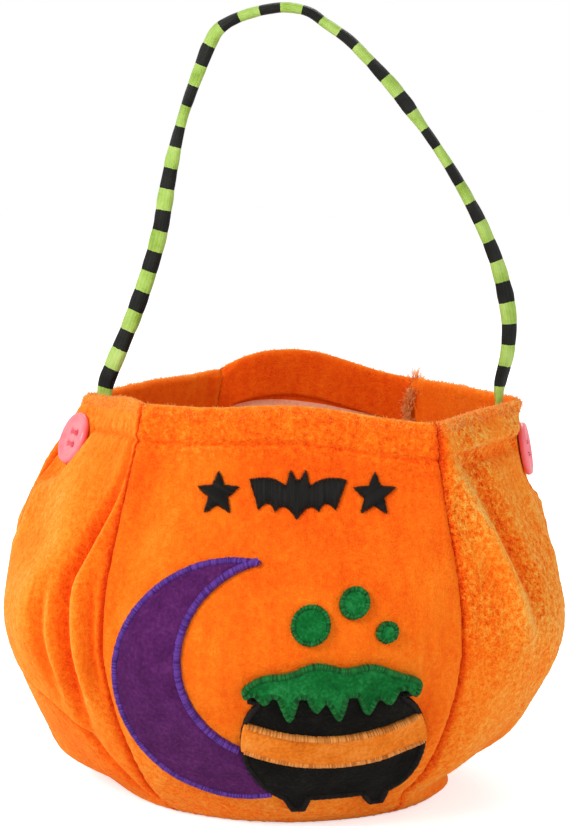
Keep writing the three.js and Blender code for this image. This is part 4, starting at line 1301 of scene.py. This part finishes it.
# The rim's hairs are coloured paler than the velour as a painted highlight.
pile_painted_highlight = thread_finish("pile_painted_highlight", colour(252, 140, 48), colour(255, 188, 112))
raw_ends = thread_finish("raw_ends", colour(255, 146, 70), colour(255, 200, 130))
sew("rim_pile", rim_pile(), pile_painted_highlight, radius=0.09, sides=3)
sew("seam_brush", seam_brush(), raw_ends, radius=0.12, sides=3)


# ---- The buttons: pink moulded plastic, dished inside a rounded lip, with four holes. Each is
# ---- sewn on with thread that has drawn it down into the cloth.
button_radius, hole_radius, hole_place = 9, 0.95, 2.1
dish_height, lip_rise, lip_place = 1.8, 0.8, (5.7, 7.6)
edge_start, edge_width, edge_drop, bevel_width, bevel_depth = 7.9, 1.12, 1.1, 0.35, 0.3


def button_shape():
    """The button's net of triangles and, at each point, the heights of its face and its back:
    a dish up to a lip, both rounded off at the edge by a quarter circle, and at the holes."""
    places = (-hole_place, hole_place)
    holes = [circle(x, y, hole_radius, 0.25) for x in places for y in places]
    shape = cut_out([circle(0, 0, button_radius, 0.4)], holes, spacing=0.42)
    flat = shape[0]
    reach = np.linalg.norm(flat, axis=1)
    past_edge = np.clip((reach - edge_start) / edge_width, 0, 1)
    back = edge_drop * (1 - np.sqrt(1 - past_edge ** 2))
    to_holes = [np.linalg.norm(flat - hole.mean(0), axis=1) for hole in holes]
    to_hole = np.min(to_holes, axis=0) - hole_radius
    face = dish_height + lip_rise * smooth(reach, *lip_place) - back
    face = face - bevel_depth * np.clip(1 - to_hole / bevel_width, 0, 1) ** 2
    return shape, face, back


def button_finish():
    """Slightly cloudy pink with a thin gloss."""
    plastic = Finish("pink_plastic", {
        "Specular IOR Level": 0.5,
        "Coat Weight": 0.25,
        "Coat Roughness": 0.15,
    })
    clouds = plastic.noise(160, 3.0, 0.5)
    grain = plastic.noise(1800, 2.0, 0.6)
    shade = plastic.ramp(clouds, (0.35, colour(247, 112, 124)), (0.65, colour(252, 134, 142)))
    return plastic.wear(
        Base_Color=shade,
        Roughness=0.34 + clouds * 0.12,
        Normal=plastic.bump(grain, 0.00003),
    )


pink_plastic = button_finish()
rose_thread = thread_finish("rose_thread", colour(206, 62, 84), colour(244, 116, 132))
shape, face, back = button_shape()
flat = shape[0]
at_edge = np.linalg.norm(flat, axis=1) > button_radius - 0.1
edge = flat * np.where(at_edge, 1.008, 1)[:, None]
# A thread's path over the button, as (along, height) points, and where its four layers lie.
thread_path = np.array([
    (-2.1, -1.6), (-2.05, 0.6), (-1.75, 1.9), (-1.2, 2.25), (-0.6, 2.32), (0, 2.34),
    (0.6, 2.32), (1.2, 2.25), (1.75, 1.9), (2.05, 0.6), (2.1, -1.6),
])
thread_shifts, thread_lift = (-0.42, -0.14, 0.14, 0.42), 0.12
for side, (seat, out) in button_seats.items():
    across = unit(np.cross([0.0, 0.0, 1.0], out))
    turned = np.stack([across, np.cross(out, across), out])
    middle = seat + out * (button_rests[side] + 0.35)
    points, faces = layer(
        shape,
        middle + np.column_stack([flat, face]) @ turned,
        middle + np.column_stack([flat, back]) @ turned,
        middle + np.column_stack([edge, (face + back) / 2]) @ turned,
    )
    button = add_piece(f"{side}_sewing_button", points, [(faces, 0)], [pink_plastic])
    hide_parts(f"{side}_button")
    along, height = thread_path.T
    paths = middle + np.array([
        np.stack([along, 0 * along + row + shift, height + thread_lift * (number % 2)], -1)
        for row in (-hole_place, hole_place)
        for number, shift in enumerate(thread_shifts)
    ]) @ turned
    stitches = [(paths, np.broadcast_to(out, paths.shape))]
    thread = sew(f"{side}_button_sewing", stitches, rose_thread, sides=8)
    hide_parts(f"{side}_button_thread")


# ---- The handle: a satin ribbon woven in bands of lime and black and sewn round a stiff, bendable
# ---- core. It is wider than it is thick, turns as it goes, and its ends lie flat inside the hem.
# The arch's knots, as shares of half its span from its middle and of its height.
arch_shares = [
    (-1, 0.0103), (-0.977, 0.05), (-0.878, 0.18), (-0.789, 0.309), (-0.729, 0.422),
    (-0.696, 0.522), (-0.654, 0.628), (-0.606, 0.723), (-0.546, 0.809), (-0.475, 0.902),
    (-0.433, 0.939), (-0.38, 0.96), (-0.253, 0.986), (-0.092, 0.999), (0.028, 0.987),
    (0.108, 0.959), (0.228, 0.915), (0.328, 0.863), (0.463, 0.786), (0.596, 0.693),
    (0.721, 0.599), (0.828, 0.506), (0.92, 0.412), (0.991, 0.317), (1.034, 0.222),
    (1.045, 0.165), (1.035, 0.095), (1, 0.0103),
]
arch_middle, arch_span, arch_height, pivot_height, arch_y = 6.32, 66.2, 126.7, 137, -0.36
left_inset, inset_fades = 1.2, (134, 150)
left_end = [(-64.0, -0.64, 118.2), (-62.9, -0.5, 126.0), (-61.8, -0.4, 134.0)]
right_end = [(72.38, -0.6, 134.0), (72.7, -0.9, 126.0), (73.0, -1.3, 118.2)]
# How far the ribbon's broad side is turned, in degrees, at distances along it.
ribbon_turns = np.array([
    (-20, 68), (-11, 62), (-3, 26), (5, 20), (12, 18), (66, 18), (80, 48), (95, 73), (105, 66),
    (118, 47), (126, 55), (133, 80), (150, 85), (168, 82), (180, 80), (190, 55), (202, 52),
    (209, 84), (222, 88), (240, 70), (256, 55), (264, 47), (273, 30), (280, 42), (290, 50),
    (300, 60), (308, 76), (325, 76),
], float)
band_pitch, band_start, dark_band, rib_count = 14.265, 1.03, 7.04, 16
half_width, half_depth, end_half_width, end_half_depth = 2.72, 1.62, 3.0, 1.05


def spline(knots, spacing=0.5):
    """A centripetal Catmull-Rom curve through its knots, at even steps along its length."""
    knots = np.vstack([2 * knots[0] - knots[1], knots, 2 * knots[-1] - knots[-2]])
    t = np.linspace(0, 1, 40, endpoint=False)[:, None]
    parts = []
    for a, b, c, d in zip(knots, knots[1:], knots[2:], knots[3:]):
        spans = ((a, b), (b, c), (c, d))
        before, gap, after = (max(np.linalg.norm(q - p), 1e-9) ** 0.5 for p, q in spans)
        leave = gap * ((b - a) / before - (c - a) / (before + gap) + (c - b) / gap)
        reach = gap * ((c - b) / gap - (d - b) / (gap + after) + (d - c) / after)
        square, cube = 3 * (c - b) - 2 * leave - reach, 2 * (b - c) + leave + reach
        parts.append(b + leave * t + square * t ** 2 + cube * t ** 3)
    fine = np.vstack([*parts, knots[-2:-1]])
    run = np.append(0, np.cumsum(np.linalg.norm(np.diff(fine, axis=0), axis=1)))
    at = np.linspace(0, run[-1], int(run[-1] / spacing) + 1)
    return np.stack([np.interp(at, run, fine[:, axis]) for axis in range(3)], -1), at


def ribbon_shape(around=56):
    """The ribbon round its core, from the raw end inside the left hem to the one inside the
    right: an oval section with fine ribs, whose corners are squared a little, that turns as it
    goes and gets flat at both ends. The run is measured from the left end of the arch."""
    s, u = np.array(arch_shares).T
    x, z = arch_middle + s * arch_span, pivot_height + u * arch_height
    x = x - left_inset * (1 - smooth(z, *inset_fades)) * (x < 0)
    knots = np.stack([x, np.full(len(x), arch_y), z], -1)
    path, run = spline(np.array([*left_end, *knots, *right_end], float))
    run = run - run[np.argmin(np.linalg.norm(path - knots[0], axis=1))]
    finish = run[np.argmin(np.linalg.norm(path - knots[-1], axis=1))]
    along = unit(np.gradient(path, axis=0))
    depth = np.array([0.0, 1.0, 0.0])
    outwards = -unit(np.cross(depth, along))
    turn = np.radians(np.interp(run, *ribbon_turns.T))[:, None]
    wide = outwards * np.cos(turn) + depth * np.sin(turn)
    thin = np.cross(along, wide)
    flat_end = np.maximum(1 - smooth(run, -5, 2), smooth(run, finish - 2, finish + 5))
    phase = (run - band_start) / (band_pitch / 2)
    bulge = 0.14 * np.abs(np.cos(np.pi * phase)) ** 0.7
    bulge = bulge + 0.16 * cloth_noise(run + 40, 0 * run, 7, 61)
    half_wide = (half_width + bulge) * (1 - flat_end) + end_half_width * flat_end
    half_thin = (half_depth + 0.5 * bulge) * (1 - flat_end) + end_half_depth * flat_end
    angle = np.arange(around) / around * 2 * np.pi
    ribs = 1 + 0.012 * np.cos(rib_count * angle) + 0.012 * np.cos(5 * angle + 1)
    squared = lambda wave: np.sign(wave) * np.abs(wave) ** 0.82 * ribs
    section_wide = half_wide[:, None] * squared(np.cos(angle))
    section_thin = half_thin[:, None] * squared(np.sin(angle))
    down, round_it = np.meshgrid(run, angle, indexing="ij")
    crease = 1 + 0.03 * cloth_noise(down, 8 * round_it, 3.0, 62)
    section = wide[:, None] * section_wide[..., None] + thin[:, None] * section_thin[..., None]
    return path[:, None] + crease[..., None] * section, run, angle, path, thin


ribbon_points, ribbon_run, ribbon_angle, ribbon_path, ribbon_thin = ribbon_shape()
rows, around = ribbon_points.shape[:2]


def ribbon_finish():
    """Bands of black on lime by the distance along the ribbon, with slightly frayed edges."""
    satin_cloth = Finish("striped_satin", {"Specular IOR Level": 0.14})
    run = satin_cloth.measure("run")
    ribs = satin_cloth.measure("rib")
    frays = satin_cloth.noise(900, 2.0, 0.5)
    place = (run + (dark_band / 2 - band_start) + (frays - 0.5) * 0.5) % band_pitch
    dark = place.less(dark_band)
    weave = satin_cloth.noise(1.0, 1.0, 0.5, satin_cloth.stretched((2400, 2400, 2400)))
    soft = satin_cloth.noise(140, 2.0, 0.5)
    lime = satin_cloth.ramp(
        soft * 0.7 + weave * 0.25 + ribs * 0.1,
        (0.3, colour(122, 152, 48)),
        (0.5, colour(158, 190, 86)),
        (0.75, colour(186, 212, 120)),
    )
    black = satin_cloth.ramp(
        soft * 0.6 + weave * 0.3 + ribs * 0.15,
        (0.35, colour(10, 10, 8)),
        (0.75, colour(36, 36, 31)),
    )
    fine = satin_cloth.bump(weave, 0.00012)
    return satin_cloth.wear(
        Base_Color=satin_cloth.mix(dark, lime, black),
        Roughness=0.46 + weave * 0.16,
        Normal=satin_cloth.bump(soft, 0.0004, fine),
    )


ends = np.stack([ribbon_path[0], ribbon_path[-1]])
hoops = grid_faces(rows, around, wrap=True)
first_row = np.arange(around)
left_cap = fan(rows * around, first_row, flip=True)
right_cap = fan(rows * around + 1, first_row + (rows - 1) * around)
rib = 0.5 + 0.5 * np.cos(rib_count * ribbon_angle)
ribbon = add_piece(
    "striped_ribbon",
    np.concatenate([ribbon_points.reshape(-1, 3), ends]),
    [(hoops, 0), (left_cap, 0), (right_cap, 0)],
    [ribbon_finish()],
    {
        "run": np.append(np.repeat(ribbon_run, around), ribbon_run[[0, -1]]),
        "rib": np.append(np.tile(rib, rows), [0.5, 0.5]),
    },
    body=None,
)
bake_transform(ribbon)
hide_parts("handle_ribbon", "left_handle_end", "right_handle_end")


def core_finish():
    """Hazy off-white plastic."""
    core = Finish("core_plastic", {"Specular IOR Level": 0.4})
    haze = core.noise(400, 3.0, 0.5)
    shade = core.ramp(haze, (0.3, colour(214, 208, 194)), (0.7, colour(238, 234, 222)))
    return core.wear(Base_Color=shade, Roughness=0.45 + haze * 0.2, Normal=core.bump(haze, 0.0001))


# The core bends with its ribbon at the two sewn ends, so it is a round rod along the same path,
# which begins and ends just above the pivots.
core_radius = 1.1
rod_rows = np.flatnonzero((ribbon_run > 1.5) & (ribbon_path[:, 2] > pivot_height + 1))
rod_path, rod_thin = ribbon_path[rod_rows][None], ribbon_thin[rod_rows][None]
rod_points, rod_faces, _ = strands(rod_path, rod_thin, core_radius, 12)
rod = add_piece("bendable_core", rod_points, [(rod_faces, 0)], [core_finish()], body=None)
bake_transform(rod)
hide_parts("handle_core")


# ---- Studio: a pale floor and a white surround, one broad soft lamp to the front left and weaker
# ---- ones to the right and behind, at a level where colours come out about as written.
def studio():
    """A white world that is brighter to camera, glossy and transmission rays than to the bag."""
    world = bpy.data.worlds.new("studio")
    bpy.context.scene.world = world
    world.use_nodes = True
    sky = Nodes(world.node_tree)
    background = sky.tree.nodes["Background"]
    rays = sky.node("ShaderNodeLightPath", {}, {}).outputs
    camera_ray, glossy_ray, clear_ray = (
        Field(sky, rays[f"Is {kind} Ray"]) for kind in ("Camera", "Glossy", "Transmission"))
    seen = camera_ray.maths("MAXIMUM", camera_ray, clear_ray)
    seen = seen.maths("MAXIMUM", seen, glossy_ray)
    sky.plug(background.inputs["Strength"], 0.52 + seen * 0.48)
    background.inputs["Color"].default_value = (1.0, 1.0, 1.0, 1.0)


def lamp(name, place, aim, size, watts):
    """A round soft lamp at a place, turned to what it lights."""
    light = bpy.data.lights.new(name, "AREA")
    light.shape, light.size, light.energy = "DISK", size, watts
    lit = bpy.data.objects.new(name, light)
    bpy.context.scene.collection.objects.link(lit)
    lit.location = place
    lit.rotation_euler = (Vector(aim) - Vector(place)).to_track_quat("-Z", "Y").to_euler()


studio()
belly_middle, rim_middle = (0, 0, 0.09), (0, 0, 0.12)
lamp("key", (-0.76, -0.84, 0.86), belly_middle, size=0.6, watts=11.5)
lamp("fill", (0.9, -0.65, 0.45), belly_middle, size=0.8, watts=3.0)
lamp("back", (0.1, 0.9, 0.9), rim_middle, size=0.6, watts=4)


def floor_finish():
    """Pale paper that glows a little to the camera, and so stays near white round the shadow."""
    paper = Finish("paper_floor", {"Roughness": 0.9})
    grain = paper.noise(300, 2.0, 0.5)
    seen = paper.node("ShaderNodeLightPath", {}, {}).outputs["Is Camera Ray"]
    paper.plug(paper.shader.inputs["Emission Strength"], Field(paper, seen) * 0.6)
    paper.shader.inputs["Emission Color"].default_value = (1, 1, 1, 1)
    return paper.wear(Base_Color=paper.mix(grain, colour(246, 246, 245), colour(250, 250, 250)))


half_floor, floor_level = 3000.0, -0.3
floor_corners = [
    (x * half_floor, y * half_floor, floor_level) for x, y in ((-1, -1), (1, -1), (1, 1), (-1, 1))
]
floor_face = np.array([[0, 1, 2, 3]])
floor = add_piece("floor", floor_corners, [(floor_face, 0)], [floor_finish()], body=None)
floor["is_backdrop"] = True
bpy.context.scene.view_settings.view_transform = "Standard"

({
    "cad": [list(map(float, corner)) for corner in cad_box],
    "visual": [list(map(float, corner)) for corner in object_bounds()],
})
